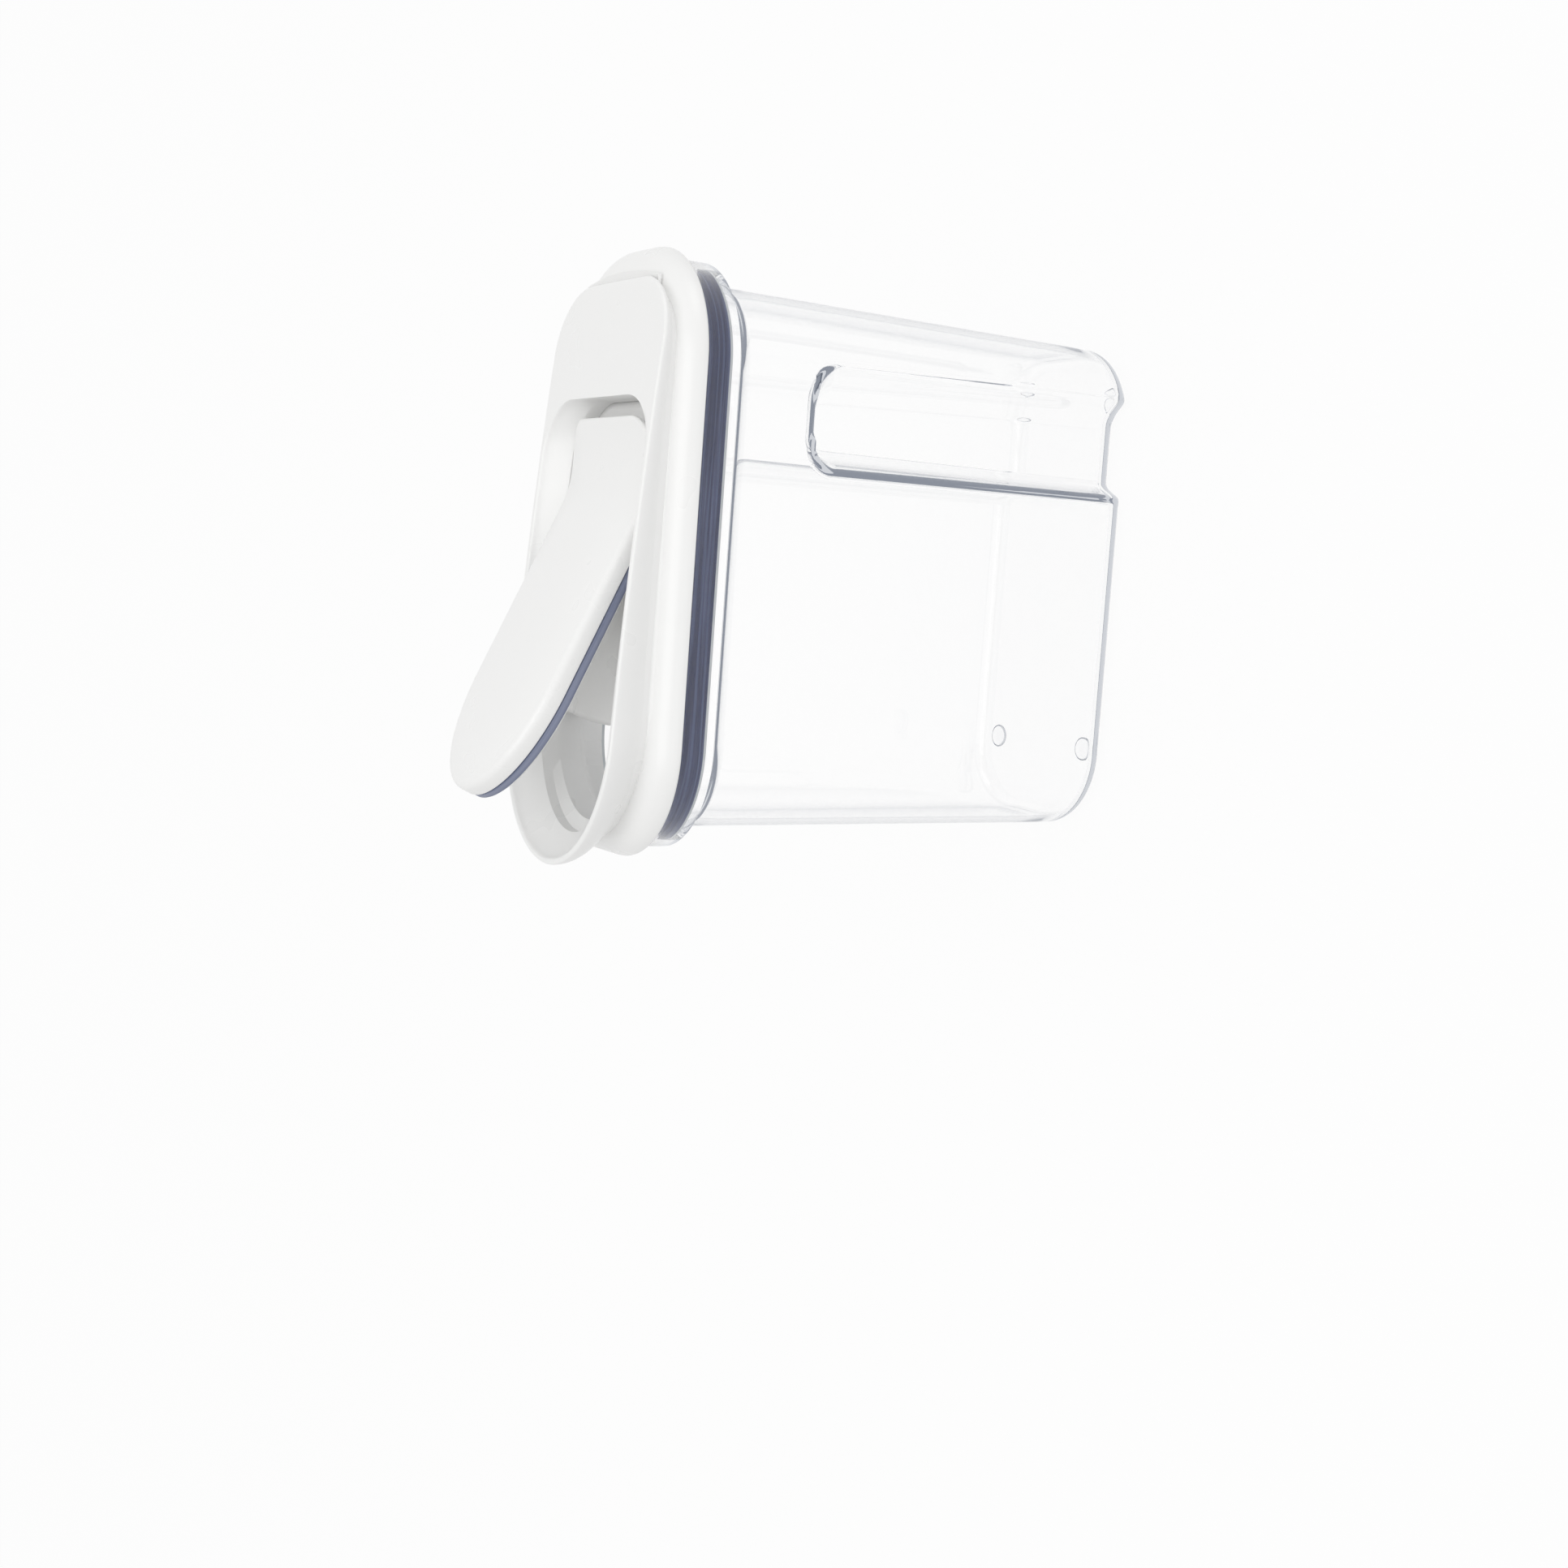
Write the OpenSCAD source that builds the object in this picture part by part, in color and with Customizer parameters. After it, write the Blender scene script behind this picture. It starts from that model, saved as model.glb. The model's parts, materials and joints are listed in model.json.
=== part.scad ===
// Cereal container with a rocking flip spout, shown with the flip open.
// Millimetres. +Z is up, +X points at the spout, and the origin is on the ground under the middle.

/* [Container] */
// Height from the underside of the base to the mouth
body_h = 205; // [150:1:260]
// How far each end of the tub tapers in, from the neck to the base
base_end_taper = 3.75; // [2:0.25:6]
// How far each side of the tub tapers in, from the neck to the base
base_side_taper = 3; // [1:0.25:4]
// Corner radius of the base
base_corner_r = 32; // [26:1:38]
// How far each end of the neck stands in from the collar
neck_end_step = 8.3; // [6:0.1:10]
// How far each side of the neck stands in from the collar
neck_side_step = 2.8; // [2:0.1:4]
// Corner radius of the tub just below its collar
neck_corner_r = 38; // [32:1:42]
// Wall thickness of the tub and its collar
body_wall = 2.4; // [1.8:0.1:3]
// Thickness of the floor of the tub
floor_t = 3; // [2:0.1:5]
// Radius of the rounded edge round the base
base_edge_r = 6; // [3:0.5:9]
// Height of the straight part of the collar
collar_h = 14.6; // [14:0.2:20]
// Height over which the tub widens to the collar
collar_blend_h = 9; // [5:0.5:14]

/* [Finger grips] */
// How far each grip is sunk, at the base
grip_depth = 9.5; // [5:0.5:12]
// Distance from the rear end of the base to the front edge of the grips
grip_place = 62.95; // [56:0.05:70]
// Width of the grips
grip_w = 36; // [30:0.5:44]
// Extra width of the grips at the base, on the rear edge
grip_spread = 5; // [0:0.5:8]
// Length of the slope at the front edge of the grips
grip_front_slope = 4.5; // [2:0.5:8]
// Length of the slope at the rear edge of the grips
grip_rear_slope = 8; // [4:0.5:11]
// Distance from the mouth down to the top of the grips
grip_top_drop = 51.6; // [40:0.2:80]
// Corner radius at the top of the grips
grip_corner_r = 11; // [6:0.5:11]

/* [Feet] */
// Diameter of each foot
foot_d = 10; // [7:0.5:12]
// Height of each foot
foot_h = 1.6; // [1:0.1:3]
// Diameter of the flat that each foot stands on
foot_flat_d = 6; // [4:0.5:6.5]
// Distance of the rear feet from the rear end of the base
foot_rear_inset = 21.75; // [18:0.25:30]
// Distance of the front feet from the front end of the base
foot_front_inset = 33.75; // [20:0.25:45]
// Distance of the feet from the sides of the base
foot_side_inset = 13; // [12:0.5:18]

/* [Lid frame] */
// Length of the lid
lid_len = 235; // [232:0.5:240]
// Width of the lid
lid_wid = 107; // [106:0.5:110]
// Corner radius of the lid
lid_corner_r = 45.5; // [40:0.5:48]
// How far the lid overhangs the collar
lid_overhang = 3.7; // [2:0.1:4.5]
// Height of the domed rim
dome_h = 11; // [9:0.2:12]
// Width of the domed rim
dome_w = 12; // [11:0.2:13]
// Height of the soft lower edge of the rim
rim_edge = 0.5; // [0.3:0.1:1]
// Wall thickness of the lid mouldings
lid_wall = 2.2; // [1.8:0.1:2.6]
// Gap between pieces that part or turn
part_gap = 0.3; // [0.25:0.05:0.5]

/* [Hood and spout] */
// Distance from the side of the lid to the side of the hood
hood_side_inset = 4.6; // [3.6:0.1:5.4]
// Distance from the rear end of the lid to the hood
hood_rear_inset = 13.7; // [12:0.1:15]
// How far the tip of the spout reaches beyond the lid
spout_reach = 5; // [3:0.2:7]
// Corner radius of the hood at the rear
hood_rear_r = 26; // [20:0.5:32]
// Length of the rounded end of the spout
hood_nose_len = 54; // [46:1:60]
// Height of the hood above the mouth, at the rear
crown_rear_h = 14.8; // [14.4:0.1:17]
// Height of the spout above the mouth, at its tip
crown_front_h = 29.7; // [28:0.1:32]
// Height of the top line above a straight one, at its middle
crown_rise_h = 2.4; // [1.8:0.1:3]
// How far the foot of the hood stands in from its edge
hood_foot_inset = 5.9; // [5.6:0.1:6.2]
// How far the foot of the spout stands in from its tip
nose_foot_inset = 14.5; // [13:0.5:15]
// Width of the lip round the channel
lip_w = 2.4; // [2:0.1:2.8]

/* [Channel] */
// Length of the hood behind the channel, on the middle line
arch_len = 44.8; // [42:0.2:47]
// Corner radius of the channel at the rear
channel_rear_r = 22; // [18:0.5:24]
// Depth at which the dished sides turn upright
dish_depth = 10; // [9:0.2:11]
// How far the upright sides of the channel stand in from the hood
channel_side_inset = 10.2; // [10.1:0.1:10.6]
// How far the upright front of the channel stands in from the tip
channel_front_inset = 13; // [12.5:0.1:13.5]
// Depth at which the front of the channel starts to narrow
seat_depth = 14; // [13.9:0.1:14.4]
// Depth at which it has narrowed to the throat
throat_depth = 17; // [16:0.1:18]
// How far the front of the throat stands in from the channel
throat_step = 5; // [4.5:0.1:7]
// Height of the channel floor above the mouth, at the rear
deck_rear_h = 4; // [3.9:0.05:4.1]
// Height of the channel floor above the mouth, at its front edge
deck_front_h = 8.6; // [8:0.1:9]
// Thickness of the channel floor
deck_t = 2; // [1.6:0.1:2.4]
// Length of the pour opening, on its sides
pour_len = 40.5; // [36:0.5:44]
// How far the front edge of the floor bows forward
deck_bow = 3; // [1:0.5:5]

/* [Lid base] */
// Thickness of the plate across the mouth
plate_t = 1.6; // [1.2:0.1:2]
// Height of the seal
gasket_h = 11.6; // [9:0.2:12]
// Thickness of the seal
gasket_t = 3.2; // [2.4:0.1:4]
// Thickness of the ring that clamps the seal
retainer_t = 1.2; // [1:0.1:1.4]
// Wall thickness of the skirt inside the mouth
skirt_t = 2; // [1.6:0.1:2.6]

/* [Flip] */
// Distance from the rear end of the channel to the hinge axis
hinge_place = 44; // [42:0.2:46]
// Height of the hinge axis above the mouth
hinge_h = 10; // [9.6:0.1:10.6]
// Slope of the open flip
open_deg = 24.8; // [22:0.2:25]
// How much shorter the flip is than the way from the hinge to the tip of the spout
flip_front_gap = 15.6; // [15.5:0.1:19]
// How much shorter the flip is than the way from the hinge back to the end of the channel
flip_rear_gap = 12.6; // [12:0.2:16]
// Gap between the flip and each side of the channel
flip_side_gap = 2.2; // [2.1:0.1:3.5]
// Length of the rounded front end of the flip
flip_nose_len = 46; // [40:1:50]
// Thickness of the flip at its edge
flip_t = 7.2; // [6.6:0.1:7.4]
// Radius of the soft edge round the top of the flip
flip_edge_r = 3; // [2:0.2:3.6]
// Rise of the flip from its edge to its middle line
flip_camber = 3; // [2:0.2:4]
// Width of the level strip along the middle of the flip
flip_ridge_w = 12; // [6:1:20]
// Radius of the curled rear part of the flip
curl_r = 40; // [38:1:44]
// Corner radius at the rear end of the flip
flip_rear_r = 20; // [14:1:26]
// Wall thickness of the flip
flip_wall = 1.8; // [1.4:0.1:2]
// Height of the seal under the flip
flip_gasket_h = 3.6; // [2.8:0.1:3.6]
// Thickness of the plate under that seal
plug_t = 0.8; // [0.8:0.1:1]
// Width of the seal under the flip
flip_gasket_w = 5; // [4:0.2:6]
// Distance from the hinge to the rear of the seal under the flip
seal_rear = 12; // [12:0.5:14]
// Corner radius at the rear of that seal
seal_corner_r = 6; // [3:0.5:10]
// How far that seal stands in from the edge of the flip
seal_edge_gap = 0.4; // [0.3:0.1:1]
// How far the plate stands in from the edge of the flip
plug_edge_gap = 1.4; // [1:0.1:2]

/* [Hinge] */
// Radius of the hinge pins
pin_r = 1.9; // [1.5:0.1:2.1]
// How far the pins stand out of the ears
pin_end = 1; // [0.5:0.1:2]
// Running clearance round the hinge pins
pin_clear = 0.08; // [0.03:0.01:0.1]
// Radius of the ears round the pins
ear_r = 4; // [3.6:0.1:4.2]
// Thickness of the ears
ear_t = 3.5; // [3:0.1:4]
// Gap between each ear and the side of the flip
ear_gap = 1.1; // [1:0.1:1.6]
// Radius of the bosses on the flip that carry the pins
boss_r = 3.5; // [3:0.1:3.6]

/* [Rear tab] */
// Width of the tab behind the hood
tab_w = 62; // [50:1:66]
// Thickness of the tab
tab_t = 1.5; // [1.2:0.1:2]
// How far the tab reaches behind the hood
tab_reach = 3.6; // [2.6:0.2:4.4]
// How far the rear edge of the tab bows outwards
tab_bow = 3.2; // [1:0.2:4]

/* [Hidden] */
// Segments in each quarter of an outline, and along each of its sides
arc_n = 10;
side_n = 8;
// Angle at which an end arc starts, so that an end closes with a narrow flat
end_deg = 3;
// Overlap that makes sure a cut goes right through
cut = 1;
$fn = 48;

mouth_z = foot_h + body_h;
collar_len = lid_len - 2 * lid_overhang;
collar_wid = lid_wid - 2 * lid_overhang;
collar_r = lid_corner_r - lid_overhang;
neck_len = collar_len - 2 * neck_end_step;
neck_wid = collar_wid - 2 * neck_side_step;
base_len = neck_len - 2 * base_end_taper;
base_wid = neck_wid - 2 * base_side_taper;
grip_front_x = grip_place - base_len / 2;
foot_rear_x = foot_rear_inset - base_len / 2;
foot_front_x = base_len / 2 - foot_front_inset;
foot_y = base_wid / 2 - foot_side_inset;
hood_half_w = lid_wid / 2 - hood_side_inset;
hood_rear_x = hood_rear_inset - lid_len / 2;
hood_front_x = lid_len / 2 + spout_reach;
channel_rear_x = hood_rear_x + arch_len;
channel_half_w = hood_half_w - channel_side_inset;
channel_front_x = hood_front_x - channel_front_inset;
throat_front_x = channel_front_x - throat_step;
deck_front_x = throat_front_x - pour_len;
hinge_x = channel_rear_x + hinge_place;
flip_front = hood_front_x - hinge_x - flip_front_gap;
flip_rear = hinge_place - flip_rear_gap;
flip_half_w = channel_half_w - flip_side_gap;
tab_rear_x = hood_rear_x - tab_reach;
seal_inset = lid_overhang + body_wall + part_gap;
skirt_inset = seal_inset + gasket_t;
plate_z = mouth_z + part_gap;
plate_top_z = plate_z + plate_t;
seal_low_z = plate_z - gasket_h;
hood_neck_z = mouth_z + dome_h;
// Moves the part so that its middle, spout included, is over the origin
mid_x = -spout_reach / 2;
// Room left where a piece stands on a sloping one
seat_room = 0.02;
clear = "#E4E9EC";
white = "#F2F2F1";
navy = "#464E64";
pale_navy = "#7F86A2";
grey = "#D3D7DA";

function mix(a, b, t) = a + (b - a) * t;

// Radius of an arc that bows out by a rise over a width
function bow_r(width, rise) = (width * width / 4 + rise * rise) / (2 * rise);

module placed() {
  translate([mid_x, 0, 0]) children();
}

// Height of the lid's top line at a position along the lid
function crown(x) =
  let (t = (x - hood_rear_x) / (hood_front_x - hood_rear_x))
  mouth_z + mix(crown_rear_h, crown_front_h, t) + 4 * crown_rise_h * t * (1 - t);

// Left half of an outline, from its front end to its rear end.
// Each end is a quarter ellipse: rear and front give its length and its width.
function half_outline(x0, x1, half_w, rear, front) = concat(
  [for (i = [0:arc_n]) let (a = mix(end_deg, 90, i / arc_n))
    [x1 - front[0] * (1 - cos(a)), half_w - front[1] * (1 - sin(a))]],
  [for (i = [1:side_n - 1]) [mix(x1 - front[0], x0 + rear[0], i / side_n), half_w]],
  [for (i = [0:arc_n]) let (a = mix(90, end_deg, i / arc_n))
    [x0 + rear[0] * (1 - cos(a)), half_w - rear[1] * (1 - sin(a))]]);

// The whole outline, anticlockwise from above
function outline(x0, x1, half_w, rear, front) =
  let (h = half_outline(x0, x1, half_w, rear, front), n = len(h))
  concat(h, [for (i = [0:n - 1]) [h[n - 1 - i][0], -h[n - 1 - i][1]]]);

// A rounded rectangle about the middle, inset all round
function oblong(length, width, r, inset) =
  let (x = length / 2 - inset, q = max(r - inset, 1))
  outline(-x, x, width / 2 - inset, [q, q], [q, q]);

function flat_ring(points, z) = [for (p = points) [p[0], p[1], z]];

// A ring that follows the top line, a given depth below it
function crown_ring(points, depth) = [for (p = points) [p[0], p[1], crown(p[0]) - depth]];

// A closed solid through rings of equal length, listed from the bottom up
module loft(rings) {
  n = len(rings[0]);
  last = (len(rings) - 1) * n;
  sides = [for (j = [0:len(rings) - 2]) for (i = [0:n - 1])
    let (a = j * n + i, b = j * n + (i + 1) % n) each [[a, a + n, b + n], [a, b + n, b]]];
  floor_faces = [for (i = [0:n / 2 - 2]) [i, i + 1, n - 2 - i, n - 1 - i]];
  roof_faces = [for (f = floor_faces) [last + f[3], last + f[2], last + f[1], last + f[0]]];
  polyhedron(points = [for (r = rings) each r], faces = concat(sides, floor_faces, roof_faces));
}

// Size of the tub at a height, as length, width and corner radius
function tub(z) =
  let (t = (z - foot_h) / (body_h - collar_h - collar_blend_h))
  [mix(base_len, neck_len, t), mix(base_wid, neck_wid, t), mix(base_corner_r, neck_corner_r, t)];

// Size of the collar's blend, from the neck at 0 to the full collar at 1
function blend(t) =
  [mix(neck_len, collar_len, t), mix(neck_wid, collar_wid, t), mix(neck_corner_r, collar_r, t)];

function sized_ring(s, inset, z) = flat_ring(oblong(s[0], s[1], s[2], inset), z);

// The tub as a solid, inset by a wall and with its floor raised
module tub_solid(inset, floor_z, edge_r, top_z) {
  neck_z = mouth_z - collar_h - collar_blend_h;
  drop = inset * 0.5;
  loft(concat(
    [for (a = [0, 22.5, 45, 67.5]) sized_ring(tub(floor_z), inset + edge_r * (1 - sin(a)),
      floor_z + edge_r * (1 - cos(a)))],
    [sized_ring(tub(floor_z + edge_r), inset, floor_z + edge_r)],
    [sized_ring(tub(neck_z), inset, neck_z - drop)],
    [for (t = [0.25, 0.5, 0.75, 1]) sized_ring(blend((1 - cos(180 * t)) / 2), inset,
      neck_z + collar_blend_h * t - drop)],
    [sized_ring(blend(1), inset, top_z)]));
}

// One finger grip as a solid, grown by a wall, on the +Y side
module grip(grow) {
  top_z = mouth_z - grip_top_drop + grow;
  floor_y = base_wid / 2 - grip_depth - grow;
  reach = (collar_wid - floor_y) / grip_depth;
  front_x = grip_front_x + grow - grip_front_slope;
  rear_x = grip_front_x - grip_w - grow + grip_rear_slope;
  function section(side, spread, z) =
    [[front_x - side + grip_front_slope * reach, collar_wid, z],
     [front_x - side, floor_y, z],
     [rear_x + side - spread, floor_y, z],
     [rear_x + side - spread - grip_rear_slope * reach, collar_wid, z]];
  levels = concat([section(0, grip_spread, -cut)],
    [for (a = [0:18:90]) section(grip_corner_r * (1 - cos(a)), 0, top_z - grip_corner_r * (1 - sin(a)))]);
  n = len(levels[0]);
  last = (len(levels) - 1) * n;
  sides = [for (j = [0:len(levels) - 2]) for (i = [0:n - 1])
    let (a = j * n + i, b = j * n + (i + 1) % n) each [[a, b, b + n], [a, b + n, a + n]]];
  polyhedron(points = [for (l = levels) each l],
    faces = concat(sides, [[for (i = [0:n - 1]) n - 1 - i]], [[for (i = [0:n - 1]) last + i]]));
}

module container_body() {
  placed() color(clear) difference() {
    tub_solid(0, foot_h, base_edge_r, mouth_z);
    difference() {
      tub_solid(body_wall, foot_h + floor_t, base_edge_r, mouth_z + cut);
      for (side = [0, 1]) mirror([0, side, 0]) grip(body_wall);
    }
    for (side = [0, 1]) mirror([0, side, 0]) grip(0);
  }
}

// A low pad with a flat sole and a rounded side
module foot(x, y) {
  bulge = (foot_d - foot_flat_d) / 2;
  placed() color(clear) translate([x, y, 0]) rotate_extrude()
    polygon(concat([[0, 0]],
      [for (a = [0:15:90]) [foot_flat_d / 2 + bulge * sin(a), foot_h * (1 - cos(a))]],
      [[0, foot_h]]));
}

module foot_rear_left() { foot(foot_rear_x, foot_y); }
module foot_rear_right() { foot(foot_rear_x, -foot_y); }
module foot_front_left() { foot(foot_front_x, foot_y); }
module foot_front_right() { foot(foot_front_x, -foot_y); }

function lid_ring(inset, z) = flat_ring(oblong(lid_len, lid_wid, lid_corner_r, inset), z);

// Rings of the domed rim, inset by a wall, up to a height over the plate
function dome_rings(inset, low_z, rise) =
  concat([lid_ring(inset + rim_edge, low_z), lid_ring(inset, plate_z + rim_edge)],
    [for (a = [15:15:90]) lid_ring(mix(inset, dome_w, 1 - cos(a)), plate_z + mix(rim_edge, rise, sin(a)))]);

// The domed rim that covers the mouth, with a hole for the hood
module lid_frame() {
  rise = dome_h - part_gap;
  placed() color(white) difference() {
    loft(dome_rings(0, plate_z, rise));
    foot_block(0, plate_z - cut);
    difference() {
      loft(dome_rings(lid_wall, plate_z - cut, rise - lid_wall));
      foot_block(-lid_wall, plate_top_z);
    }
  }
}

// Outline of the hood, drawn in from its edge by a share of the foot insets
function hood_outline(share, inset) =
  let (half_w = hood_half_w - hood_foot_inset * share - inset,
       x0 = hood_rear_x + hood_foot_inset * share + inset,
       x1 = hood_front_x - nose_foot_inset * share - inset,
       rear_r = hood_rear_r - inset)
  outline(x0, x1, half_w, [rear_r, rear_r], [hood_nose_len - inset, half_w]);

// An upright block with the outline of the hood's foot
module foot_block(inset, low_z) {
  loft([flat_ring(hood_outline(1, inset), low_z), flat_ring(hood_outline(1, inset), hood_neck_z + cut)]);
}

// The hood's outer form, inset by a wall, from a foot height to a depth below its top line
module hood_solid(inset, foot_z, depth) {
  shares = [1, 0.72, 0.46, 0.24, 0.09, 0.02];
  loft(concat(
    [flat_ring(hood_outline(1, inset), foot_z)],
    [for (i = [0:len(shares) - 1]) let (t = i / len(shares), o = hood_outline(shares[i], inset))
      [for (p = o) [p[0], p[1], mix(hood_neck_z, crown(p[0]) - depth, t)]]],
    [crown_ring(hood_outline(0, inset + lip_w * 0.1), depth + lip_w * 0.15)],
    [crown_ring(hood_outline(0, inset + lip_w * 0.4), depth)]));
}

// Outline of the channel for a half width and a front position, grown by a wall
function channel_outline(half_w, front_x, grow) =
  outline(channel_rear_x - grow, front_x + grow, half_w + grow,
    [channel_rear_r, channel_rear_r], [hood_nose_len - lip_w, half_w + grow]);

// Outline of the dished part: 0 at the lip, 1 where the sides turn upright
function dish_outline(share, grow) =
  channel_outline(mix(hood_half_w - lip_w, channel_half_w, share),
    mix(hood_front_x - lip_w, channel_front_x, share), grow);

function throat_outline(grow) = channel_outline(channel_half_w, throat_front_x, grow);

// The space inside the channel, grown by a wall
module channel_solid(grow, low_z, over) {
  loft([flat_ring(throat_outline(grow), low_z),
        crown_ring(throat_outline(grow), throat_depth),
        crown_ring(dish_outline(1, grow), seat_depth),
        crown_ring(dish_outline(1, grow), dish_depth),
        crown_ring(dish_outline(0.55, grow), dish_depth * 0.55),
        crown_ring(dish_outline(0.2, grow), dish_depth * 0.18),
        crown_ring(dish_outline(0, grow), 0),
        crown_ring(dish_outline(0, grow), -over)]);
}

// The raised hood with the channel walls of the spout
module lid_hood() {
  placed() color(white) difference() {
    hood_solid(0, plate_top_z, 0);
    channel_solid(0, plate_top_z - cut, cut);
    difference() {
      hood_solid(lid_wall, plate_top_z - cut, lid_wall);
      channel_solid(lid_wall, plate_top_z - 2 * cut, 2 * cut);
    }
  }
}

// The plate and skirt under the hood, with the pour opening
module lid_base() {
  placed() color(white) difference() {
    union() {
      loft([lid_ring(lid_overhang, plate_z), lid_ring(lid_overhang, plate_top_z)]);
      loft([lid_ring(skirt_inset, seal_low_z), lid_ring(skirt_inset, plate_z + plate_t / 2)]);
    }
    loft([lid_ring(skirt_inset + skirt_t, seal_low_z - cut), lid_ring(skirt_inset + skirt_t, plate_z)]);
    intersection() {
      loft([flat_ring(throat_outline(0), plate_z - cut), flat_ring(throat_outline(0), plate_top_z + cut)]);
      translate([deck_front_x, -lid_wid / 2, plate_z - 2 * cut])
        cube([lid_len, lid_wid, plate_t + 4 * cut]);
    }
  }
}

// Height of the channel floor at a position along the lid
function deck_z(x) = mouth_z
  + mix(deck_rear_h, deck_front_h, (x - channel_rear_x) / (deck_front_x - channel_rear_x));

// The floor of the channel, with a bowed front edge above the pour opening
module channel_floor() {
  r = bow_r(2 * channel_half_w, deck_bow);
  o = throat_outline(0);
  placed() color(white) intersection() {
    loft([[for (p = o) [p[0], p[1], deck_z(p[0]) - deck_t]], [for (p = o) [p[0], p[1], deck_z(p[0])]]]);
    translate([deck_front_x + deck_bow - r, 0, plate_z])
      cylinder(r = r, h = crown_front_h, $fn = 180);
  }
}

// The seal round the skirt
module lid_gasket() {
  placed() color(navy) difference() {
    loft([lid_ring(seal_inset, seal_low_z), lid_ring(seal_inset, plate_z)]);
    loft([lid_ring(skirt_inset, seal_low_z - cut), lid_ring(skirt_inset, plate_z + cut)]);
  }
}

// The ring that holds the seal up against the plate
module gasket_retainer() {
  placed() color(grey) difference() {
    loft([lid_ring(seal_inset, seal_low_z - retainer_t), lid_ring(seal_inset, seal_low_z)]);
    loft([lid_ring(skirt_inset + skirt_t, seal_low_z - retainer_t - cut),
          lid_ring(skirt_inset + skirt_t, seal_low_z + cut)]);
  }
}

// The ledge behind the hood, lying on the rim and shaped to the hood
module rear_tab() {
  r = bow_r(tab_w, tab_bow);
  low_z = plate_z + dome_h - part_gap;
  placed() color(white) difference() {
    intersection() {
      translate([tab_rear_x + r, 0, low_z]) cylinder(r = r, h = tab_t, $fn = 360);
      translate([tab_rear_x - cut, -tab_w / 2, low_z - cut])
        cube([hood_rear_x + hood_rear_r - tab_rear_x, tab_w, tab_t + 2 * cut]);
    }
    hood_solid(-seat_room, plate_top_z, 0);
    translate([hood_rear_x + hood_foot_inset + cut, -tab_w, low_z - cut])
      cube([tab_w, 2 * tab_w, tab_t + 2 * cut]);
  }
}

// An ear with a true bore that carries one hinge pin, standing on the channel floor
module hinge_ear(side) {
  in_y = flip_half_w - flip_wall - ear_gap - ear_t;
  axis_z = mouth_z + hinge_h;
  rear_z = deck_z(hinge_x - ear_r) + seat_room;
  front_z = deck_z(hinge_x + ear_r) + seat_room;
  placed() color(white) translate([hinge_x, side * in_y, 0]) rotate([90, 0, side > 0 ? 180 : 0])
    mirror([side > 0 ? 1 : 0, 0, 0]) difference() {
      union() {
        translate([0, axis_z, 0]) cylinder(r = ear_r, h = ear_t);
        linear_extrude(ear_t)
          polygon([[-ear_r, rear_z], [ear_r, front_z], [ear_r, axis_z], [-ear_r, axis_z]]);
      }
      translate([0, axis_z, -cut]) cylinder(r = pin_r + pin_clear, h = ear_t + 2 * cut);
    }
}

module hinge_ear_left() { hinge_ear(1); }
module hinge_ear_right() { hinge_ear(-1); }

// Puts what is drawn along +X from the hinge into its open place
module opened() {
  placed() translate([hinge_x, 0, mouth_z + hinge_h]) rotate([0, -open_deg, 0]) children();
}

function flip_outline(inset) =
  let (r = max(flip_rear_r - inset, 1))
  outline(-flip_rear + inset, flip_front - inset, flip_half_w - inset,
    [r, r], [flip_nose_len - inset, flip_half_w - inset]);

// Height by which the rear of the flip curls up, at a distance from the hinge
function curl(x) = x < 0 ? curl_r - sqrt(curl_r * curl_r - x * x) : 0;

function flip_ring(inset, z) = [for (p = flip_outline(inset)) [p[0], p[1], z + curl(p[0])]];

// Rings of the flip's rounded and cambered top, for an inset by a wall
function flip_top(wall) = [for (t = [0.35, 0.6, 0.78, 0.9, 1])
  flip_ring(mix(flip_edge_r, flip_half_w - flip_ridge_w / 2, t),
    flip_t - wall + flip_camber * (1 - (1 - t) * (1 - t)))];

module flip_solid(wall, low_z) {
  r = flip_edge_r;
  loft(concat([flip_ring(wall, low_z)],
    [for (a = [0:22.5:90]) flip_ring(wall + r * (1 - cos(a)), flip_t - wall - r * (1 - sin(a)))],
    flip_top(wall)));
}

// The white tongue: a shell that is open underneath, with bosses for the pins
module flip_shell() {
  opened() color(white) difference() {
    union() {
      flip_solid(0, 0);
      for (side = [-1, 1]) translate([0, side * (flip_half_w - flip_wall), 0]) rotate([-90 * side, 0, 0])
        cylinder(r = boss_r, h = flip_wall);
    }
    flip_solid(flip_wall, -ear_r - cut);
  }
}

function seal_outline(inset) = outline(seal_rear + inset, flip_front - inset, flip_half_w - inset,
  [seal_corner_r, seal_corner_r], [flip_nose_len - inset, flip_half_w - inset]);

// A band that follows the outline of the seal between two insets
module seal_band(inset, width, low_z, height) {
  translate([0, 0, low_z]) linear_extrude(height) difference() {
    polygon(seal_outline(inset));
    polygon(seal_outline(inset + width));
  }
}

// The seal round the underside of the tongue
module flip_gasket() {
  opened() color(pale_navy)
    seal_band(seal_edge_gap, flip_gasket_w - seal_edge_gap, -flip_gasket_h, flip_gasket_h);
}

// The plate under the seal, with a rim that fills the seal and bears on the tongue
module flip_plug() {
  opened() color(white) {
    translate([0, 0, -flip_gasket_h - plug_t]) linear_extrude(plug_t) polygon(seal_outline(plug_edge_gap));
    seal_band(flip_gasket_w, flip_wall, -flip_gasket_h, flip_gasket_h + flip_t - flip_wall);
  }
}

// A pin fixed in the side of the tongue
module hinge_pin(side) {
  placed() color(white) translate([hinge_x, side * (flip_half_w - flip_wall), mouth_z + hinge_h])
    rotate([90 * side, 0, 0]) cylinder(r = pin_r, h = ear_gap + ear_t + pin_end);
}

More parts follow.
